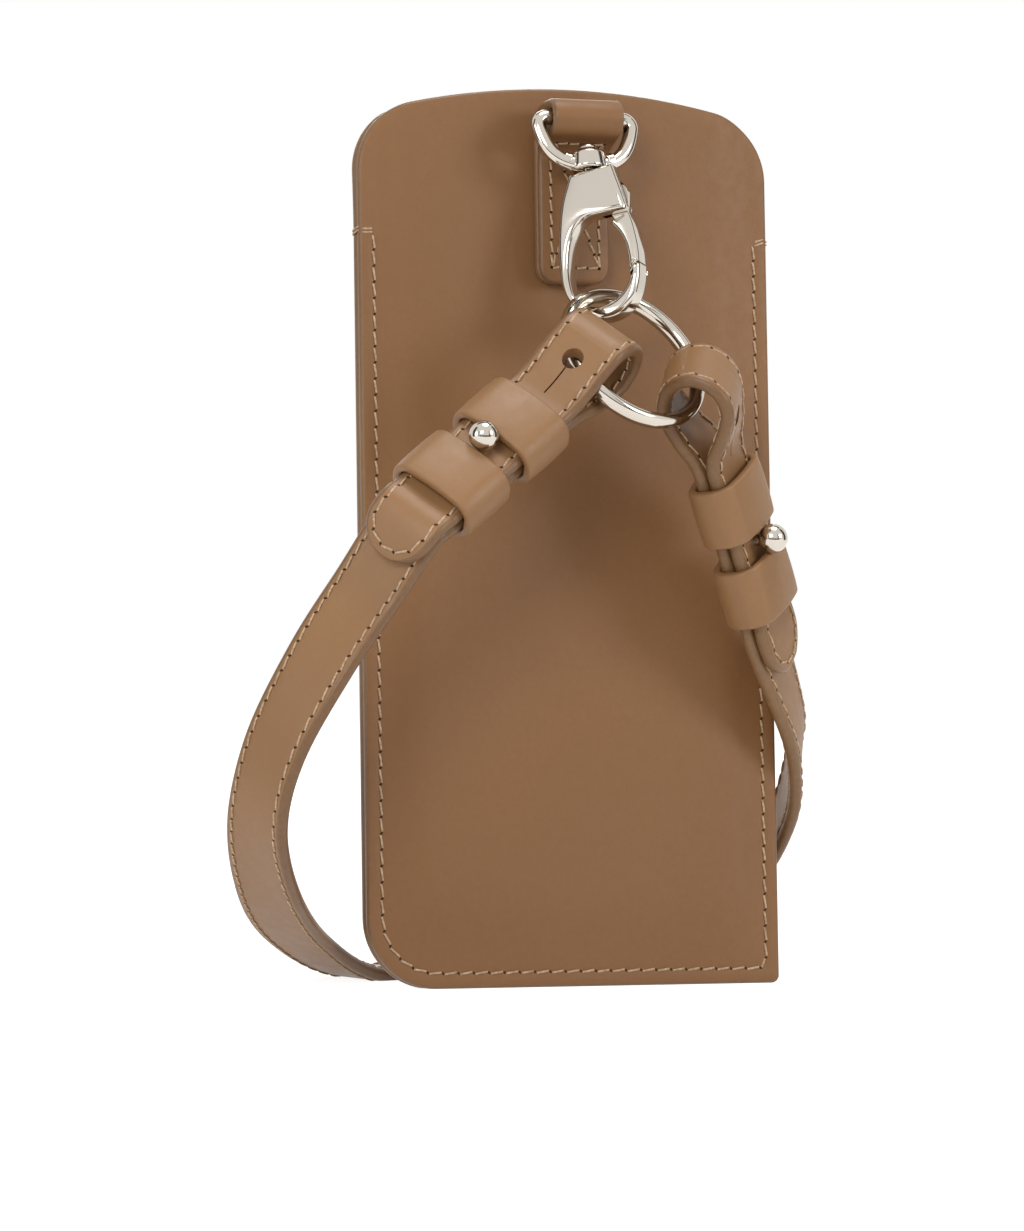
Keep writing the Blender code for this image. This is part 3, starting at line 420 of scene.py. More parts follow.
def outwards(mesh):
    """A mesh with its doubles merged and its faces turned outwards."""
    work = bmesh.new()
    work.from_mesh(mesh)
    bmesh.ops.remove_doubles(work, verts=work.verts, dist=TINY)
    bmesh.ops.recalc_face_normals(work, faces=work.faces)
    work.to_mesh(mesh)
    work.free()
    return mesh


def cut(mesh, tool_mesh, operation="DIFFERENCE"):
    """A mesh after an exact boolean with another."""
    tool = linked(bpy.data.objects.new("tool", tool_mesh))
    work = held(mesh)
    step = work.modifiers.new("cut", "BOOLEAN")
    step.operation = operation
    step.solver = "EXACT"
    step.object = tool
    bpy.ops.object.modifier_apply(modifier=step.name)
    bpy.data.objects.remove(tool)
    return taken(work)


def primitive(operator, place=Matrix(), **settings):
    """The mesh of a primitive, placed."""
    operator(**settings)
    mesh = taken(bpy.context.view_layer.objects.active)
    mesh.transform(place)
    return mesh


def oval(work, centre, wide, high, sides):
    """A ring of points on an oval, from its centre and its two half axes."""
    turns = [2.0 * math.pi * step / sides for step in range(sides)]
    return [work.verts.new(centre + wide * math.cos(turn) + high * math.sin(turn)) for turn in turns]


def band(work, low, high, slots=(0,)):
    """The faces between two rings with the same number of points, with slots that repeat round them."""
    count = len(low)
    for step in range(count):
        after = (step + 1) % count
        face = work.faces.new((low[step], low[after], high[after], high[step]))
        face.material_index = slots[step % len(slots)]


# Lines
def arc(centre, radius, start_deg, end_deg, count):
    """Points on an arc in two dimensions."""
    found = []
    for step in range(count + 1):
        angle = math.radians(start_deg + (end_deg - start_deg) * step / count)
        found.append((centre[0] + radius * math.cos(angle), centre[1] + radius * math.sin(angle)))
    return found


def smooth(points, per_span):
    """A smooth line through points, with a few steps in each span."""
    points = [Vector(point) for point in points]
    ends = [2.0 * points[0] - points[1]] + points + [2.0 * points[-1] - points[-2]]
    found = []
    for before, first, second, after in zip(ends, ends[1:], ends[2:], ends[3:]):
        for step in range(per_span):
            t = step / per_span
            found.append(0.5 * (2.0 * first + (second - before) * t
                                + (2.0 * before - 5.0 * first + 4.0 * second - after) * t ** 2
                                + (3.0 * first - before - 3.0 * second + after) * t ** 3))
    found.append(points[-1])
    return found


def ease(value):
    """A smooth step from 0 to 1."""
    value = max(0.0, min(1.0, value))
    return value * value * (3.0 - 2.0 * value)


def rounding(share):
    """How full a quarter round is, from 0 at its edge to 1 where it ends."""
    return math.sqrt(1.0 - (1.0 - max(0.0, min(1.0, share))) ** 2)


def distances(points):
    """How far along a line each of its points lies."""
    walked = [0.0]
    for first, second in zip(points, points[1:]):
        walked.append(walked[-1] + (second - first).length)
    return walked


def span_at(walked, wanted):
    """The span of a line that holds a distance along it, and the share of the span before it."""
    index = min(max(bisect_right(walked, wanted) - 1, 0), len(walked) - 2)
    return index, (wanted - walked[index]) / max(walked[index + 1] - walked[index], 1e-9)


def evenly(pairs, step):
    """A line of (point, direction) pairs at even steps along it."""
    walked = distances([point for point, _ in pairs])
    count = max(1, round(walked[-1] / step))
    found = []
    for number in range(count + 1):
        index, share = span_at(walked, walked[-1] * number / count)
        (point, near), (next_point, next_near) = pairs[index], pairs[index + 1]
        found.append((point.lerp(next_point, share), near.lerp(next_near, share)))
    return found


def spaced(points, step, closed=False):
    """Points at even steps along a line, without the last where the line is closed."""
    points = [Vector(point) for point in points]
    if closed:
        points.append(points[0].copy())
    found = [point for point, _ in evenly([(point, point) for point in points], step)]
    return found[:-1] if closed else found


def inside(place, border):
    """Whether a place lies inside a closed outline."""
    within = False
    for first, second in zip(border, border[1:] + border[:1]):
        if (first.y > place.y) != (second.y > place.y):
            if place.x < (second.x - first.x) * (place.y - first.y) / (second.y - first.y) + first.x:
                within = not within
    return within


# Stitches
def stitch(work, first, second, out):
    """One slanted stitch, which rises from a needle hole and dips into the next."""
    along = second - first
    pitch = along.length
    along.normalize()
    across = out.cross(along).normalized()
    middle = (first + second) / 2.0
    slant = along + across * STITCH_SLANT
    rings = []
    for share, rise, size in STITCH_SHAPE:
        centre = middle + slant * (share * pitch) + out * (rise * THREAD)
        radius = THREAD / 2.0 * size
        rings.append(oval(work, centre, across * radius, out * (THREAD_FLATNESS * radius), THREAD_SIDES))
    for low, high in zip(rings, rings[1:]):
        band(work, low, high)
    work.faces.new(list(reversed(rings[0])))
    work.faces.new(rings[-1])


def needle_hole(work, point, along, out):
    """A slanted awl hole, shown by a small plug that stands just proud of the leather and carries the hole's
    painted shade.
    """
    across = out.cross(along).normalized()
    length = (across - along * HOLE_TILT).normalized()
    breadth = out.cross(length)
    lid = oval(work, point + out * HOLE_RISE, length * (HOLE_LENGTH / 2.0), breadth * (HOLE_BREADTH / 2.0),
               HOLE_SIDES)
    foot = [work.verts.new(corner.co - out * HOLE_DEPTH) for corner in lid]
    work.faces.new(lid).material_index = 1
    work.faces.new(list(reversed(foot))).material_index = 1
    band(work, foot, lid, (1,))


def stitch_rows(name, rows, body):
    """Stitches along rows of (points, outward directions), with needle holes but for single tacks."""
    work = bmesh.new()
    for points, outs in rows:
        for first, second, out, next_out in zip(points, points[1:], outs, outs[1:]):
            stitch(work, first, second, (out + next_out).normalized())
        if len(points) == 2:
            continue
        ends = zip(points[:1] + points, points[1:] + points[-1:])
        for (before, after), point, out in zip(ends, points, outs):
            needle_hole(work, point, (after - before).normalized(), out)
    finished(name, closed_mesh(work, name), body, [THREAD_TAN, HOLE], smooth_deg=60.0)


# The pouch
def swell(x, z):
    """How far a panel has swollen at a place, from 0 at its seams to 1."""
    side = ease((POUCH_WIDTH / 2.0 - SEAM_WIDTH - abs(x)) / SIDE_RUN)
    return side * ease((z - SEAM_WIDTH) / BOTTOM_RUN)


def flare(z):
    """How far a free mouth edge opens, from 0 at the tack stitches to 1 at the top."""
    return max(0.0, (z - MOUTH_BOTTOM) / MOUTH_DROP) ** 1.5


def pouch_outline(inset):
    """The panels' outline in X and Z, moved inwards. The top arch runs into the round shoulders."""
    half = POUCH_WIDTH / 2.0
    shoulder = half - SHOULDER_RADIUS
    turn = 0.2
    for _ in range(8):
        reach = shoulder + SHOULDER_RADIUS * math.sin(turn)
        drop = TOP_ARCH + SHOULDER_RADIUS * (1.0 - math.cos(turn))
        arch_radius = (reach ** 2 + drop ** 2) / (2.0 * drop)
        turn = math.asin(reach / arch_radius)
    turn_deg = math.degrees(turn)
    low = arc((-half + ROUND_CORNER, ROUND_CORNER), ROUND_CORNER - inset, 180.0, 270.0, 20)
    keep = max(SHARP_CORNER, inset + TINY)
    right = arc((half - keep, keep), max(SHARP_CORNER - inset, TINY), 270.0, 360.0, 6)
    high = POUCH_HEIGHT - TOP_ARCH - SHOULDER_RADIUS
    upper = arc((shoulder, high), SHOULDER_RADIUS - inset, 0.0, 90.0 - turn_deg, 20)
    peak = (0.0, POUCH_HEIGHT - arch_radius)
    upper += arc(peak, arch_radius - inset, 90.0 - turn_deg, 90.0 + turn_deg, 26)[1:-1]
    upper += arc((-shoulder, high), SHOULDER_RADIUS - inset, 90.0 + turn_deg, 180.0, 20)
    found = []
    for first, second in ((low, right), (right, upper), (upper, low)):
        found += first
        begin, finish = Vector(first[-1]), Vector(second[0])
        count = max(1, round((finish - begin).length / OUTLINE_STEP))
        found += [tuple(begin.lerp(finish, step / count)) for step in range(1, count)]
    return found


def panel_middle(x, z, middle, bulge, opening):
    """Where the middle of a panel's thickness lies in Y."""
    return middle + bulge * swell(x, z) + opening * flare(z)


def panel_sheet():
    """A panel's flat triangles in X and Z, and how far in from the outline each point lies."""
    insets = [share * PANEL_EDGE for share in PANEL_EDGE_STEPS]
    insets += [SEAM_INSET + share * SEAM_DIP_HALF_WIDTH for share in (-1.0, -0.5, 0.0, 0.5, 1.0)]
    flat, edges, depth = [], [], []
    for inset in insets:
        ring = pouch_outline(inset)
        start, count = len(flat), len(ring)
        flat += [Vector(point) for point in ring]
        depth += [inset] * count
        edges += [(start + step, start + (step + 1) % count) for step in range(count)]
    outline = list(range(count))
    border = [Vector(point) for point in pouch_outline(insets[-1] + PANEL_GRID_MARGIN)]
    columns = math.ceil(POUCH_WIDTH / 2.0 / (PANEL_GRID * PANEL_GRID_SQUEEZE))
    for column in range(-columns, columns + 1):
        for row in range(math.ceil(POUCH_HEIGHT / PANEL_GRID)):
            place = Vector((column * PANEL_GRID * PANEL_GRID_SQUEEZE, row * PANEL_GRID))
            if inside(place, border):
                flat.append(place)
                depth.append(insets[-1] + PANEL_GRID)
    verts, _, faces, origin, _, _ = delaunay_2d_cdt(flat, edges, [outline], 1, 1e-7, True)
    depth = [depth[sources[0]] if sources else PANEL_EDGE for sources in origin]
    faces = [face for face in faces if max(depth[index] for index in face) > 0.0]
    return verts, faces, depth


def panel(name, middle, bulge, opening, outward):
    """A panel: two skins that meet in a rounded edge, the outer one pinched along the seam."""
    verts, faces, depth = panel_sheet()
    work = bmesh.new()
    skins = []
    for side in (-1.0, 1.0):
        skin = []
        for place, inset in zip(verts, depth):
            if side > 0.0 and inset <= 0.0:
                skin.append(skins[0][len(skin)])
                continue
            thick = PANEL_PLY / 2.0 * rounding(inset / PANEL_EDGE)
            if side == outward and place.y < MOUTH_BOTTOM:
                thick -= SEAM_DIP * max(0.0, 1.0 - abs(inset - SEAM_INSET) / SEAM_DIP_HALF_WIDTH)
            y = panel_middle(place.x, place.y, middle, bulge, opening) + side * thick
            skin.append(work.verts.new((place.x, y, max(place.y, y * math.tan(LEAN)))))
        skins.append(skin)
    for side, skin in zip((-1.0, 1.0), skins):
        for face in faces:
            corners = [skin[index] for index in face]
            made = work.faces.new(corners if side < 0.0 else list(reversed(corners)))
            rim = max(depth[index] for index in face) <= 0.7 * PANEL_EDGE
            made.material_index = 1 if rim else (0 if side == outward else 2)
    return closed_mesh(work, name)


def seam_line():
    """The seam's path in X and Z, from one tack to the other."""
    half = POUCH_WIDTH / 2.0 - SEAM_INSET
    corner = (-POUCH_WIDTH / 2.0 + ROUND_CORNER, ROUND_CORNER)
    bend = arc(corner, ROUND_CORNER - SEAM_INSET, 180.0, 270.0, 16)
    return [(-half, MOUTH_BOTTOM)] + bend + [(half, SEAM_INSET), (half, MOUTH_BOTTOM)]


def tacks(middle, face, outward):
    """Two tack stitches at each end of the mouth on one panel, from the seam to the panel's edge."""
    outs = [Vector((0.0, outward, 0.0))] * 2
    for side in (-1.0, 1.0):
        for lift, rise in ((0.0, 0.5 * MM), (0.8 * MM, 1.2 * MM)):
            inner = Vector((side * (POUCH_WIDTH / 2.0 - SEAM_INSET), middle + face, MOUTH_BOTTOM + lift))
            outer = Vector((side * (POUCH_WIDTH / 2.0 - 0.1 * MM), middle + face * 0.75, MOUTH_BOTTOM + rise))
            yield [inner, outer], outs


def pouch():
    """Both panels, the seam and the tacks at the ends of the mouth."""
    rows = []
    for name, middle, bulge, opening, outward in (("front_panel", 0.0, -FRONT_BULGE, 0.0, -1.0),
                                                  ("rear_panel", PANEL_PITCH, REAR_BULGE, MOUTH_FLARE, 1.0)):
        mesh = panel(name, middle, bulge, opening, outward)
        finished(name + "_leather", mesh, "pouch", [TAN, EDGE, FLESH], (name,),
                 smooth_deg=50.0)
        face = outward * (PANEL_PLY / 2.0 - SEAM_DIP)
        path = spaced([(x, 0.0, z) for x, z in seam_line()], STITCH_PITCH)
        points = [Vector((p.x, panel_middle(p.x, p.z, middle, bulge, 0.0) + face, p.z)) for p in path]
        rows.append((points, [Vector((0.0, outward, 0.0))] * len(points)))
        rows += tacks(middle, face, outward)
    for side in (-1.0, 1.0):
        x = side * (POUCH_WIDTH / 2.0 + 0.05 * MM)
        for lift in (0.4 * MM, 0.4 * MM + TACK_GAP):
            ends = [Vector((x, y, MOUTH_BOTTOM + lift)) for y in (-0.9 * MM, PANEL_PITCH + 0.9 * MM)]
            rows.append((ends, [Vector((side, 0.0, 0.0))] * 2))
    stitch_rows("pouch_seam", rows, "pouch")


# Strips of leather: the strap and the tab
def square_up(points, nears):
    """The place, run, near and outward directions at each point of a line."""
    result = []
    for index, place in enumerate(points):
        before = points[max(index - 1, 0)]
        after = points[min(index + 1, len(points) - 1)]
        run = (after - before).normalized()
        near = (nears[index] - run * nears[index].dot(run)).normalized()
        result.append((place, run, near, run.cross(near)))
    return result


def strip(places, halves, thickness, edge, top_slot):
    """A strip with rounded edges in slot 1, its top in a given slot and its underside in the other."""
    work = bmesh.new()
    turn = 5
    walked = distances([place for place, _, _, _ in places])
    rings = []
    for (centre, _, near, out), half, reach in zip(places, halves, walked):
        reach = min(reach, walked[-1] - reach)
        thick = thickness / 2.0 * rounding(max(reach / edge, 0.02))
        radius = min(edge, half)
        section = []
        for side in (1.0, -1.0):
            for step in range(2 * turn + 1):
                angle = math.radians(90.0 * step / turn - 90.0 * side)
                section.append((side * (half - radius) + radius * math.cos(angle), thick * math.sin(angle)))
            section += [(side * (half - radius) * share, side * thick) for share in (0.5, 0.0, -0.5)]
        rings.append([work.verts.new(centre + near * s + out * n) for s, n in section])
    slots = [1] * (2 * turn) + [top_slot] * 4 + [1] * (2 * turn) + [2 - top_slot] * 4
    for low, high in zip(rings, rings[1:]):
        band(work, low, high, slots)
    work.faces.new(list(reversed(rings[0])))
    work.faces.new(rings[-1])
    return closed_mesh(work), walked


def on_strip(places, walked, along, across, height):
    """A point on a strip and its outward direction, from distances along and across it."""
    index, share = span_at(walked, along)
    (place, _, near, out), (next_place, _, next_near, next_out) = places[index], places[index + 1]
    out = out.lerp(next_out, share).normalized()
    near = near.lerp(next_near, share).normalized()
    return place.lerp(next_place, share) + near * across + out * height, out


def strip_row(places, walked, path, height, side=1.0):
    """A row to be stitched on a strip: its points and outward directions, on the face of one side."""
    row = [on_strip(places, walked, place.x, place.y, side * height) for place in path]
    return [point for point, _ in row], [out * side for _, out in row]


def tab_line():
    """The tab strip's line: up the panel, round the eye's bar and down again."""
    inner = TAB_BACK - TAB_PLY / 2.0
    outer = inner - TAB_PLY - FIT_GAP
    turn = EYE_WIRE / 2.0 + BAR_CLEARANCE + TAB_PLY / 2.0
    bar_y, bar_z = BAR_CENTRE.y, BAR_CENTRE.z
    shoulder = bar_z - 1.1 * LOOP_DEPTH
    rise = [(inner, TAB_BOTTOM), (inner, (TAB_BOTTOM + shoulder) / 2.0), (inner, shoulder)]
    over = [(inner, bar_z - turn), (inner - 0.2 * turn, bar_z + 0.35 * turn),
            ((inner + bar_y) / 2.0 + 0.2 * turn, bar_z + 0.93 * turn)]
    loop = arc((bar_y, bar_z), turn, 90.0, 262.0, 24)
    under = [((outer + bar_y) / 2.0 - 0.1 * turn, bar_z - 1.45 * turn),
             (outer - 0.15 * turn, bar_z - 2.3 * turn), (outer, shoulder - 0.6 * turn)]
    fall = [(outer, (TAB_BOTTOM + shoulder) / 2.0 - turn), (outer, TAB_BOTTOM)]
    path = rise[:2] + smooth(rise[2:] + over + loop[:1], 6) + loop[1:-1] + smooth(loop[-1:] + under, 6) + fall
    fine = spaced([(0.0, y, z) for y, z in path], TAB_STEP)
    ends = (0.0, 0.03, 0.12, 0.3, 0.6)
    first = [fine[0].lerp(fine[1], share) for share in ends]
    last = [fine[-1].lerp(fine[-2], share) for share in reversed(ends)]
    return first + fine[1:-1] + last


def tab():
    """The tab with its stitched box and cross."""
    line = tab_line()
    places = square_up(line, [Vector((1.0, 0.0, 0.0))] * len(line))
    walked = distances(line)
    reaches = [min(reach, walked[-1] - reach) for reach in walked]
    halves = [TAB_WIDTH / 2.0 - TAB_CORNER * (1.0 - rounding(reach / TAB_CORNER)) for reach in reaches]
    mesh, walked = strip(places, halves, TAB_PLY, TAB_EDGE, 0)
    finished("tab_leather", mesh, "pouch", [TAN, EDGE, FLESH], ("tab_strip",), smooth_deg=50.0)
    low, high = walked[-1] - TAB_BOX_LOW, walked[-1] - TAB_BOX_HIGH
    across = TAB_WIDTH / 2.0 - TAB_BOX_INSET
    corners = [Vector(corner) for corner in ((high, -across), (high, across), (low, across), (low, -across))]
    rows = []
    for begin, finish in ((0, 1), (1, 2), (2, 3), (3, 0), (0, 2), (1, 3)):
        path = spaced([corners[begin], corners[finish]], TAB_STITCH_PITCH)
        rows.append(strip_row(places, walked, path, TAB_PLY / 2.0 - TAB_THREAD_SINK))
    stitch_rows("tab_box_stitching", rows, "pouch")


# The strap's route, as the solids have it
def ring_axes():
    """The ring's level direction and its rising direction."""
    level = Vector((0.0, 0.0, 1.0)).cross(RING_NORMAL).normalized()
    return level, RING_NORMAL.cross(level)


def ring_centre():
    """The ring hangs on the lowest bar of the hook."""
    drop = Vector((0.0, -math.sin(EYE_SWING), -math.cos(EYE_SWING))) * RING_TOP_DROP
    return BAR_CENTRE + drop + Vector((RING_SIDE, 0.0, 0.0)) - RING_RADIUS * ring_axes()[1]


def end_frame(side):
    """Where an end of the strap lies: its start, run, near and outward directions."""
    end = ENDS[side]
    level, rising = ring_axes()
    angle = math.radians(end["ring_deg"])
    on_ring = ring_centre() + RING_RADIUS * (math.cos(angle) * level + math.sin(angle) * rising)
    run = end["run"].normalized()
    near = (end["near"] - run * end["near"].dot(run)).normalized()
    outward = run.cross(near)
    outward = outward if outward.y < 0.0 else -outward
    start_at = on_ring + outward * end["lift"] * STRAP_WIDTH + near * end["across"] * STRAP_WIDTH
    return start_at, run, near, outward


def stud_distance(side):
    """How far the stud lies from the ring along an end of the strap."""
    return ENDS[side]["stud"] * STRAP_WIDTH


def neck_distance(side):
    """How far from the ring the fold closes, just before the upper keeper's reach."""
    return stud_distance(side) - KEEPER_FAR - KEEPER_TRAVEL


def in_air(route):
    """A stretch of the route off the surface."""
    return [(Vector((x * POUCH_WIDTH, y * STRAP_REACH, z * POUCH_HEIGHT)), Vector(near))
            for (x, y, z), near in route]


def on_floor(route):
    """A stretch of the route on the surface, which lies tilted in the pouch's frame."""
    slope = math.tan(LEAN)
    lift = FIT_GAP / 2.0 / math.cos(LEAN)
    return [(Vector((x * POUCH_WIDTH, y * STRAP_REACH, y * STRAP_REACH * slope - lift)),
             Vector((near[0], near[1], near[1] * slope))) for (x, y), near in route]


def middle_line():
    """The line midway between the strap's band and the layer that lies on it."""
    ends = {}
    for side in ENDS:
        start_at, run, near, _ = end_frame(side)
        neck = neck_distance(side)
        reach = stud_distance(side) + KEEPER_FAR + 2.4 * KEEPER_TRAVEL - neck
        ends[side] = [(start_at + run * (neck + reach * step / 8), near) for step in range(9)]
    left, right = ends["left"], ends["right"][::-1]
    bend = left[-2:] + in_air(LEFT_ROUTE) + on_floor(FLOOR_ROUTE) + in_air(RIGHT_ROUTE) + right[:2]
    points = smooth([point for point, _ in bend], 16)
    nears = smooth([near for _, near in bend], 16)
    pairs = evenly(left[:-2] + list(zip(points, nears)) + right[2:], STRAP_STEP)
    return square_up([point for point, _ in pairs], [near for _, near in pairs])


def fold(side):
    """The fold round the ring, from the outer layer's neck to the band's neck."""
    end = ENDS[side]
    start_at, run, near, outward = end_frame(side)
    neck = neck_distance(side)
    half = LAYER_PITCH / 2.0
    radius = end["rise"] * STRAP_WIDTH
    middle = radius - end["crest"] * STRAP_WIDTH
    reach = math.hypot(neck - middle, half)
    touch_deg = math.degrees(math.atan2(half, neck - middle) + math.acos(radius / reach))
    bend = arc((middle, 0.0), radius, touch_deg, 180.0, 14)
    touch_along, touch_out = bend[0]
    slope = [(neck + (touch_along - neck) * share, half + (touch_out - half) * share)
             for share in (0.3, 0.62)]
    slope[0] = (slope[0][0], slope[0][1] - 0.08 * radius)
    shape = [(neck + KEEPER_TRAVEL, half), (neck, half)] + slope + bend
    shape += [(along, -out) for along, out in reversed(shape[:-1])]
    loop_near = end["loop_near"].normalized()
    found = []
    for along, out in smooth(shape, 4)[4:-4]:
        twist = ease((neck - along) / (neck - middle))
        found.append((start_at + run * along + outward * out, near.lerp(loop_near, twist)))
    return found


def tongue(side, line):
    """The outer layer from the strap's neck to its tip."""
    wanted = KEEPER_FAR + KEEPER_TRAVEL + ENDS[side]["tongue"] * STRAP_WIDTH
    count = bisect_right(distances([place for place, _, _, _ in line]), wanted)
    return [(place + LAYER_PITCH / 2.0 * outward, near) for place, _, near, outward in line[:count]]


def finer_tip(pairs):
    """A line with closer steps near its first end, where the tip is rounded."""
    walked = distances([point for point, _ in pairs])
    tip = []
    for share in TIP_STEPS:
        index, part = span_at(walked, TIP_RADIUS * share)
        (point, near), (next_point, next_near) = pairs[index], pairs[index + 1]
        tip.append((point.lerp(next_point, part), near.lerp(next_near, part)))
    return tip + pairs[bisect_right(walked, TIP_RADIUS):]


def strap_places():
    """The strap's frames from one tongue tip to the other, and its half widths."""
    line = middle_line()
    pairs = tongue("left", line)[::-1] + fold("left")[1:-1]
    pairs += [(place - LAYER_PITCH / 2.0 * outward, near) for place, _, near, outward in line]
    pairs += fold("right")[-2:0:-1] + tongue("right", line[::-1])
    pairs = finer_tip(finer_tip(pairs)[::-1])[::-1]
    walked = distances([point for point, _ in pairs])
    reaches = [min(reach, walked[-1] - reach) for reach in walked]
    halves = [STRAP_WIDTH / 2.0 * rounding(max(reach / TIP_RADIUS, 0.004)) for reach in reaches]
    return square_up([point for point, _ in pairs], [near for _, near in pairs]), halves


def buttonholed(mesh, side):
    """The strap's mesh with the spare buttonhole and its slit cut through one fold."""
    start_at, run, near, outward = end_frame(side)
    turn = Matrix((run, near, run.cross(near))).transposed().to_4x4()
    rise = ENDS[side]["rise"] * STRAP_WIDTH
    spare = start_at + run * BUTTONHOLE_SHARE * neck_distance(side) + outward * (rise + STRAP_THICKNESS / 2.0)
    hole = primitive(bpy.ops.mesh.primitive_cylinder_add, Matrix.Translation(spare) @ turn,
                     vertices=40, radius=BUTTONHOLE / 2.0, depth=2.0 * rise)
    lie = spare + run * (BUTTONHOLE / 2.0 + SLIT_LENGTH / 2.0 - SLIT_OVERLAP)
    size = Matrix.Diagonal((SLIT_LENGTH, SLIT_WIDTH, 2.0 * rise, 1.0))
    slit = primitive(bpy.ops.mesh.primitive_cube_add, Matrix.Translation(lie) @ turn @ size, size=1.0)
    return cut(cut(mesh, hole), slit)


def strap():
    """The folded strap with its buttonholes, slits and edge stitching."""
    places, halves = strap_places()
    mesh, walked = strip(places, halves, STRAP_THICKNESS, STRAP_EDGE, 2)
    for side in ENDS:
        mesh = buttonholed(mesh, side)
    finished("wrist_strap", mesh, "strap", [STRAP_TAN, EDGE, STRAP_TAN],
             ("strap_face_ply", "strap_back_ply"), smooth_deg=50.0)
    radius = TIP_RADIUS - STRAP_SEAM_INSET
    half = STRAP_WIDTH / 2.0 - STRAP_SEAM_INSET
    turns = [math.radians(step) for step in range(0, 181, 12)]
    path = [(TIP_RADIUS - radius * math.sin(turn), half * math.cos(turn)) for turn in turns]
    path += [(walked[-1] - x, -y) for x, y in path]
    path = spaced(path, STITCH_PITCH, True)
    height = STRAP_THICKNESS / 2.0 - STRAP_THREAD_SINK
    rows = [strip_row(places, walked, path + path[:1], height, side) for side in (-1.0, 1.0)]
    stitch_rows("strap_edge_stitching", rows, "strap")


def rounded_box(half, corner):
    """A rounded rectangle with the same number of points whatever its size."""
    bends = []
    for index, (x, z) in enumerate(((1.0, 1.0), (-1.0, 1.0), (-1.0, -1.0), (1.0, -1.0))):
        centre = (x * (half[0] - corner), z * (half[1] - corner))
        bends.append([Vector(point) for point in arc(centre, corner, 90.0 * index, 90.0 * index + 90.0, 8)])
    points = []
    for index, bend in enumerate(bends):
        follow = bends[(index + 1) % 4][0]
        steps = 2 if index % 2 else 6
        points += bend + [bend[-1].lerp(follow, step / steps) for step in range(1, steps)]
    return points


def keeper_section():
    """The outline of a keeper's wall along its length, with eased edges and a slightly full outside."""
    half = KEEPER_LENGTH / 2.0
    corners = ((half, KEEPER_WALL), (-half, KEEPER_WALL), (-half, 0.0), (half, 0.0))
    section = []
    for index, (y, depth) in enumerate(corners):
        centre = (y - math.copysign(KEEPER_EDGE, y), depth - KEEPER_EDGE if depth else KEEPER_EDGE)
        section += arc(centre, KEEPER_EDGE, 90.0 * index, 90.0 * index + 90.0, 4)
        if index == 0:
            section += [(half * share, KEEPER_WALL + KEEPER_SWELL * (1.0 - share ** 2))
                        for share in (0.6, 0.3, 0.0, -0.3, -0.6)]
    return section


def keepers():
    """Four moulded leather keepers, each a closed band."""
    inner = (STRAP_WIDTH / 2.0 + FIT_GAP, STRAP_THICKNESS + 1.5 * FIT_GAP)
    outer = (inner[0] + KEEPER_WALL, inner[1] + KEEPER_WALL)
    section = keeper_section()
    for side in ENDS:
        start_at, run, near, _ = end_frame(side)
        turn = Matrix((near, run, near.cross(run))).transposed().to_4x4()
        for place, sign in (("upper", -1.0), ("lower", 1.0)):
            work = bmesh.new()
            rings = []
            for low, high in zip(rounded_box(inner, KEEPER_BEND_IN), rounded_box(outer, KEEPER_BEND_OUT)):
                crown = KEEPER_CROWN * max(0.0, 1.0 - (low.x / inner[0]) ** 2) * math.copysign(1.0, low.y)
                wall = [(low.lerp(high, depth / KEEPER_WALL), y) for y, depth in section]
                rings.append([work.verts.new((point.x, y, point.y + crown)) for point, y in wall])
            for first, second in zip(rings, rings[1:] + rings[:1]):
                band(work, first, second)
            name = "keeper_" + side + "_" + place
            along = stud_distance(side) + sign * (STUD_GAP + KEEPER_LENGTH / 2.0)
            finished(name + "_leather", closed_mesh(work), name, [STRAP_TAN], (name,),
                     LEANED @ Matrix.Translation(start_at + run * along) @ turn, 50.0)


# Metal
def turned(name, profile, body, stands_for, place):
    """A turned piece from (radius, height) points that run down its outer side."""
    mesh = bpy.data.meshes.new(name)
    mesh.from_pydata([(radius, 0.0, height) for radius, height in profile],
                     [(index, index + 1) for index in range(len(profile) - 1)], [])
    work = held(mesh)
    screw = work.modifiers.new("turn", "SCREW")
    screw.steps = screw.render_steps = 48
    screw.use_merge_vertices = True
    screw.merge_threshold = TINY
    bpy.ops.object.modifier_apply(modifier=screw.name)
    finished(name, outwards(taken(work)), body, [NICKEL], stands_for, LEANED @ place)


def eased(profile, radius, steps=4):
    """A turned profile with its inner corners rounded."""
    profile = [Vector(point) for point in profile]
    found = [profile[0]]
    for before, corner, after in zip(profile, profile[1:], profile[2:]):
        back, on = before - corner, after - corner
        reach = min(radius, back.length * 0.45, on.length * 0.45)
        first, last = corner + back.normalized() * reach, corner + on.normalized() * reach
        for step in range(steps + 1):
            t = step / steps
            found.append(first * (1.0 - t) ** 2 + corner * 2.0 * t * (1.0 - t) + last * t ** 2)
    found.append(profile[-1])
    return [tuple(point) for point in found]


def converted(curve, loops):
    """The mesh of a curve along closed loops of points."""
    for points in loops:
        spline = curve.splines.new("POLY")
        spline.points.add(len(points) - 1)
        for point, place in zip(spline.points, points):
            point.co = (*place, 1.0)
        spline.use_cyclic_u = True
    held(curve)
    bpy.ops.object.convert(target="MESH")
    return outwards(taken(bpy.context.view_layer.objects.active))


def wire(points, diameter):
    """A closed round wire along points."""
    curve = bpy.data.curves.new("wire", "CURVE")
    curve.dimensions = "3D"
    curve.bevel_depth = diameter / 2.0
    curve.bevel_resolution = 8
    return converted(curve, [points])


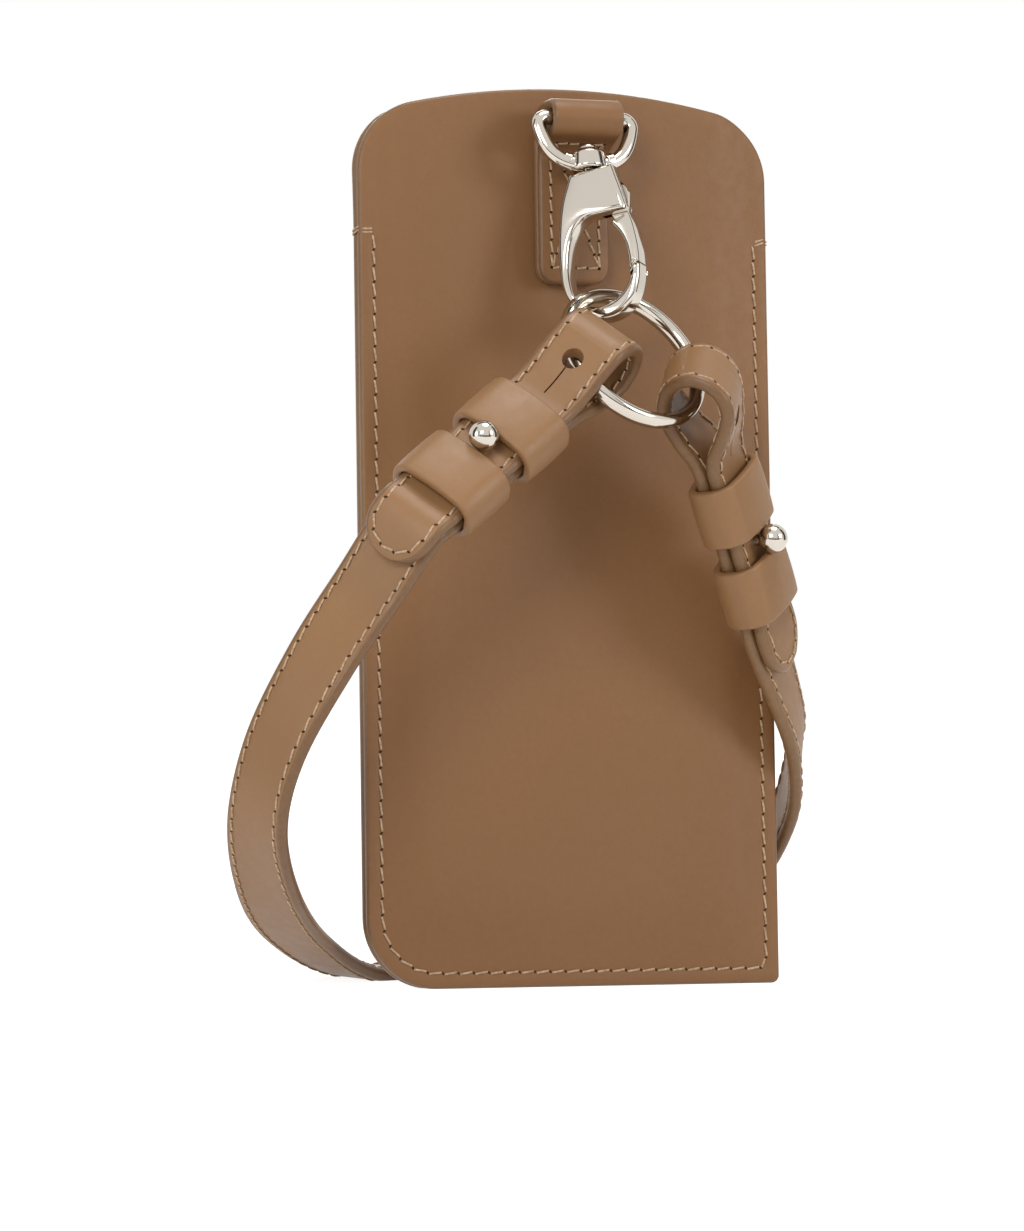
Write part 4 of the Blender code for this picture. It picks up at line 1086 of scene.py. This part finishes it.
def plate(outline, thickness, edge):
    """An outline in X and Z, filled and given a thickness along Y with rounded edges."""
    curve = bpy.data.curves.new("plate", "CURVE")
    curve.dimensions = "2D"
    curve.fill_mode = "BOTH"
    curve.extrude = thickness / 2.0 - edge
    curve.bevel_depth = edge
    curve.bevel_resolution = 4 if edge > 0.0 else 0
    curve.offset = -edge
    mesh = converted(curve, [[(x, z, 0.0) for x, z in outline]])
    mesh.transform(Matrix.Rotation(math.pi / 2.0, 4, "X"))
    return mesh


def eye():
    """The D-shaped eye of round wire, with a bow that is a little fuller than a half circle."""
    radius, corner = EYE_RADIUS, EYE_CORNER
    lift_deg = math.degrees(math.asin(corner / (radius - corner)))
    inset = (radius - corner) * math.cos(math.radians(lift_deg))
    steps = 28
    fuller = [1.0 + EYE_FULLNESS * math.sin(math.pi * step / steps) ** 2 for step in range(steps + 1)]
    bow = arc((0.0, 0.0), radius, 270.0, 360.0 - lift_deg, steps)
    half = [(x * share, z * share) for (x, z), share in zip(bow, fuller)]
    half += arc((inset, -corner), corner, -lift_deg, 90.0, 10)[1:]
    points = [Vector((x, 0.0, z)) for x, z in half + [(-x, z) for x, z in reversed(half[1:])]]
    finished("eye_wire", wire(points, EYE_WIRE), "eye", [NICKEL], ("clasp_eye",),
             LEANED @ EYE_PLACE)


def boss():
    """The eye's barrel, the collars where its wire enters it, and the post with its domed head."""
    top = -BOSS_BOTTOM + BOSS_HEIGHT
    bore = POST_DIAMETER / 2.0 + FIT_GAP
    side = BOSS_WIDTH / 2.0
    barrel = [(bore, top), (side - 1.1 * MM, top), (side - 0.15 * MM, top - 0.75 * MM),
              (side, -BOSS_BOTTOM + 0.5 * MM), (side - 0.3 * MM, -BOSS_BOTTOM), (bore, -BOSS_BOTTOM)]
    turned("eye_barrel", eased(barrel, 0.35 * MM), "eye", (),
           EYE_PLACE @ Matrix.Diagonal((1.0, BOSS_FLATNESS, 1.0, 1.0)))
    collar = [(0.45, 1.0), (0.505, 1.0), (0.53, 0.5), (0.57, 0.0), (0.45, 0.0)]
    collar = eased([(wide * EYE_WIRE, high * COLLAR_LENGTH) for wide, high in collar], 0.5 * MM)
    for name, sign in (("eye_collar_left", -1.0), ("eye_collar_right", 1.0)):
        x = side + 0.2 * MM
        drop = -math.sqrt(EYE_RADIUS ** 2 - x ** 2)
        lean = Matrix.Rotation(math.pi / 2.0 - sign * math.asin(x / EYE_RADIUS), 4, "Y")
        turned(name, [(wide, sign * high) for wide, high in collar], "eye", (),
               EYE_PLACE @ Matrix.Translation((sign * x, 0.0, drop)) @ lean)
    head_foot = top + FIT_GAP
    head, stem = POST_HEAD_DIAMETER / 2.0, POST_DIAMETER / 2.0
    dome = [(head * math.sin(math.radians(step)), head_foot + POST_HEAD_HEIGHT * math.cos(math.radians(step)))
            for step in range(0, 90, 9)]
    foot = -HOOK_TOP - POST_SINK + FIT_GAP
    post = dome + [(head, head_foot + POST_HEAD_RIM), (head, head_foot)]
    post += [(stem, head_foot), (stem, foot), (0.0, foot)]
    turned("post_metal", post, "hook", ("swivel_post",), HOOK_PLACE)


def hook_points(shares):
    """Points of the hook's outline from shares of its half width and its length."""
    return [(x * HOOK_WIDTH / 2.0, -HOOK_TOP - z * HOOK_LENGTH) for x, z in shares]


def outlined(*stretches):
    """An outline of the hook or gate: its long stretches smooth, its short ones straight."""
    found = []
    for shares in stretches:
        points = hook_points(shares)
        found += [tuple(point) for point in smooth(points, 6)] if len(points) > 4 else points
    return found


def hook():
    """The cast hook with its slot, and the gate with a thin tongue that turns in the slot."""
    mesh = plate(outlined(HOOK_OUTER, HOOK_NOSE, HOOK_INNER, HOOK_PLATE), HOOK_THICKNESS, HOOK_EDGE)
    (pin_x, pin_z), (left_x, low_z) = hook_points([PIN_SHARE, (SLOT_LEFT, SLOT_LOW)])
    right_x = HOOK_WIDTH / 2.0 + SLOT_OVERRUN
    high_z = pin_z + KNUCKLE_RADIUS + FIT_GAP
    tongue_y = (SLOT_THICKNESS - GATE_TONGUE) / 2.0 - FIT_GAP
    middle = Matrix.Translation(((right_x + left_x) / 2.0, tongue_y, (high_z + low_z) / 2.0))
    size = Matrix.Diagonal((right_x - left_x, GATE_TONGUE + 2.0 * TONGUE_PLAY, high_z - low_z, 1.0))
    mesh = cut(mesh, primitive(bpy.ops.mesh.primitive_cube_add, middle @ size, size=1.0))
    finished("hook_casting", mesh, "hook", [NICKEL], ("hook_body",),
             LEANED @ HOOK_PLACE, 32.0)
    limb = [(x - pin_x, z - pin_z) for x, z in outlined(GATE_OUTER, GATE_END, GATE_INNER)]
    (left, left_foot), (right, right_foot) = limb[-1], limb[0]
    knuckle = arc((0.0, 0.0), KNUCKLE_RADIUS, 0.0, 180.0, 20)
    knuckle += [(-KNUCKLE_RADIUS, left_foot / 2.0), (left + 2.7 * MM, left_foot - 2.7 * MM),
                (right - 0.9 * MM, right_foot - 3.6 * MM), (right - 0.9 * MM, right_foot)]
    tongue_mesh = plate(knuckle, GATE_TONGUE, 0.0)
    tongue_mesh.transform(Matrix.Translation((0.0, tongue_y, 0.0)))
    gate = cut(plate(limb, GATE_THICKNESS, GATE_EDGE), tongue_mesh, "UNION")
    finished("gate_lever", gate, "gate", [NICKEL], ("hook_gate",),
             LEANED @ HOOK_PLACE @ Matrix.Translation((pin_x, 0.0, pin_z)), 32.0)
    for node in ("gate_pin", "gate_spring"):
        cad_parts[node].material_slots[0].material = STEEL


def ring():
    """The O-ring, turned from an oval section."""
    level, rising = ring_axes()
    turn = Matrix((level, rising, RING_NORMAL)).transposed().to_4x4()
    size = Matrix.Diagonal((1.0, 1.0, RING_AXIAL / RING_RADIAL, 1.0))
    mesh = primitive(bpy.ops.mesh.primitive_torus_add, Matrix.Translation(ring_centre()) @ turn @ size,
                     major_segments=128, minor_segments=28,
                     major_radius=RING_RADIUS, minor_radius=RING_RADIAL / 2.0)
    finished("ring_metal", mesh, "ring", [NICKEL], ("o_ring",))


def studs():
    """Ball studs with their necks, and the screws behind them."""
    top = STRAP_THICKNESS + FIT_GAP / 2.0
    radius, neck = STUD_BALL / 2.0, STUD_NECK / 2.0
    join = math.asin(neck / radius)
    centre = top + STUD_NECK_HEIGHT + radius * math.cos(join)
    turns = [(math.pi - join) * step / 24.0 for step in range(25)]
    ball = [(radius * math.sin(turn), centre + radius * math.cos(turn)) for turn in turns]
    ball += [(neck, -top + FIT_GAP), (0.0, -top + FIT_GAP)]
    head, head_top, height = SCREW_HEAD / 2.0, -top - FIT_GAP, SCREW_HEAD_HEIGHT
    screw = [(0.0, head_top), (head, head_top), (head, head_top - height * 0.5),
             (head * 0.7, head_top - height), (0.0, head_top - height)]
    for side in ENDS:
        start_at, run, near, outward = end_frame(side)
        turn = Matrix((near, outward.cross(near), outward)).transposed().to_4x4()
        place = Matrix.Translation(start_at + run * stud_distance(side)) @ turn
        turned("stud_" + side, ball, "strap", ("stud_ball_" + side,), place)
        turned("screw_" + side, eased(screw, 0.3 * MM), "strap", ("stud_screw_" + side,), place)


# The room. Dark felt flags give the polished metal its dark lines, as in a studio
FLOOR_SIDE = 8.0
LAMPS_LOOK_AT = Vector((0.0, 0.0, 0.09))
FLAGS_LOOK_AT = Vector((0.0, 0.0, 0.13))
FLAGS = (
    ("flag_right", (0.70, -0.10, 0.30), 0.30, 1.1),
    ("flag_left", (-0.75, 0.12, 0.30), 0.30, 1.1),
    ("flag_left_front", (-0.90, -0.55, 0.20), 0.10, 0.9),
    ("flag_right_front", (0.38, -0.95, 0.20), 0.14, 0.9),
    ("flag_over", (0.10, 0.25, 0.85), 1.0, 0.22),
    ("flag_low", (-0.10, -0.60, 0.03), 1.2, 0.16),
)
LAMPS = (
    ("key", (-0.60, -0.82, 0.52), 0.4, 3.6),
    ("second", (0.65, -0.78, 0.44), 0.4, 2.95),
    ("top", (0.1, -0.1, 1.2), 0.6, 6.0),
    ("left", (-1.05, -0.25, 0.3), 0.5, 1.6),
    ("back", (0.25, 1.1, 0.6), 0.5, 3.2),
)


def card(name, wide, high, entry):
    """A flat rectangle about the origin, with its material."""
    mesh = bpy.data.meshes.new(name)
    x, y = wide / 2.0, high / 2.0
    mesh.from_pydata([(-x, -y, 0.0), (x, -y, 0.0), (x, y, 0.0), (-x, y, 0.0)], [], [(0, 1, 2, 3)])
    mesh.materials.append(entry)
    return linked(bpy.data.objects.new(name, mesh))


def aim(made, place, look_at):
    """Puts a lamp or a flag at a place, turned towards another."""
    made.location = place
    made.rotation_euler = (look_at - Vector(place)).to_track_quat("-Z", "Y").to_euler()


def seen(tree, *rays):
    """1 for a ray of the kinds that are named, else 0."""
    path = add(tree, "ShaderNodeLightPath")
    found = path.outputs[rays[0]]
    for ray in rays[1:]:
        links = [(0, found), (1, path.outputs[ray])]
        found = add(tree, "ShaderNodeMath", links, operation="MAXIMUM").outputs[0]
    return found


def table():
    """A matt white table: paper white to the eye and to reflections, with the bag's soft shadow."""
    made, tree, shader = material("white_table", Base_Color=linear("#F1F1F1"), Roughness=0.9)
    pale = add(tree, "ShaderNodeBsdfDiffuse", in_Color=linear("#B3B3B3"))
    glow = add(tree, "ShaderNodeEmission", in_Color=linear("#FFFFFF"), in_Strength=0.89)
    both = add(tree, "ShaderNodeAddShader", [(0, pale.outputs[0]), (1, glow.outputs[0])])
    to_eye = seen(tree, "Is Camera Ray", "Is Glossy Ray")
    mix = add(tree, "ShaderNodeMixShader", [(0, to_eye), (1, shader.outputs[0]), (2, both.outputs[0])])
    tree.links.new(mix.outputs[0], tree.nodes["Material Output"].inputs["Surface"])
    floor = card("floor", FLOOR_SIDE, FLOOR_SIDE, made)


def surround():
    """A white surround that lights the bag only faintly."""
    world = bpy.data.worlds.new("white_room")
    bpy.context.scene.world = world
    world.use_nodes = True
    tree = world.node_tree
    fill = add(tree, "ShaderNodeBackground", in_Color=linear("#FFFFFF"), in_Strength=0.24)
    white = add(tree, "ShaderNodeBackground", in_Color=linear("#FFFFFF"), in_Strength=1.0)
    to_eye = seen(tree, "Is Camera Ray", "Is Glossy Ray", "Is Transmission Ray")
    mix = add(tree, "ShaderNodeMixShader", [(0, to_eye), (1, fill.outputs[0]), (2, white.outputs[0])])
    tree.links.new(mix.outputs[0], tree.nodes["World Output"].inputs["Surface"])


def room():
    """The table, the surround, the flags that only reflections see, and soft round lamps."""
    table()
    surround()
    felt, _, _ = material("grey_felt_flag", Base_Color=linear("#4D4B48"), Roughness=1.0)
    for name, place, wide, high in FLAGS:
        flag = card(name, wide, high, felt)
        aim(flag, place, FLAGS_LOOK_AT)
        flag.visible_camera = False
        flag.visible_diffuse = False
        flag.visible_shadow = False
        flag.visible_transmission = False
    for name, place, size, power in LAMPS:
        lamp = bpy.data.lights.new(name, "AREA")
        lamp.shape = "DISK"
        lamp.size = size
        lamp.energy = power
        aim(linked(bpy.data.objects.new(name, lamp)), place, LAMPS_LOOK_AT)


# The camera, in the pouch's frame. Its lens and centre are in pixels of the photograph
IMAGE_HEIGHT = 1231.0
FOCAL_PIXELS = 5437.0
CENTRE_RIGHT = -56.4
CENTRE_UP = -79.8
CAMERA_PLACE = Vector((-0.3923, -1.0777, 0.0108))
CAMERA_LEFT_OF_FRONT = math.radians(20.0)
CAMERA_LOOK_UP = math.radians(4.2)
CAMERA_ROLL = math.radians(-0.9)


def camera():
    """The camera, once tipped with the pouch, stands to its left, level with its middle."""
    data = bpy.data.cameras.new("camera")
    made = linked(bpy.data.objects.new("camera", data))
    turn = Matrix.Rotation(-CAMERA_LEFT_OF_FRONT, 4, "Z")
    turn @= Matrix.Rotation(math.pi / 2.0 + CAMERA_LOOK_UP, 4, "X")
    turn @= Matrix.Rotation(CAMERA_ROLL, 4, "Z")
    made.matrix_world = LEANED @ Matrix.Translation(CAMERA_PLACE) @ turn
    data.sensor_fit = "VERTICAL"
    data.sensor_height = 36.0
    data.lens = FOCAL_PIXELS * data.sensor_height / IMAGE_HEIGHT
    data.shift_x = CENTRE_RIGHT / IMAGE_HEIGHT
    data.shift_y = CENTRE_UP / IMAGE_HEIGHT
    data.clip_start = 0.01
    data.clip_end = 20.0
    bpy.context.scene.camera = made
    bpy.context.scene.view_settings.view_transform = "Standard"


camera()
room()
pouch()
tab()
eye()
boss()
hook()
ring()
strap()
keepers()
studs()
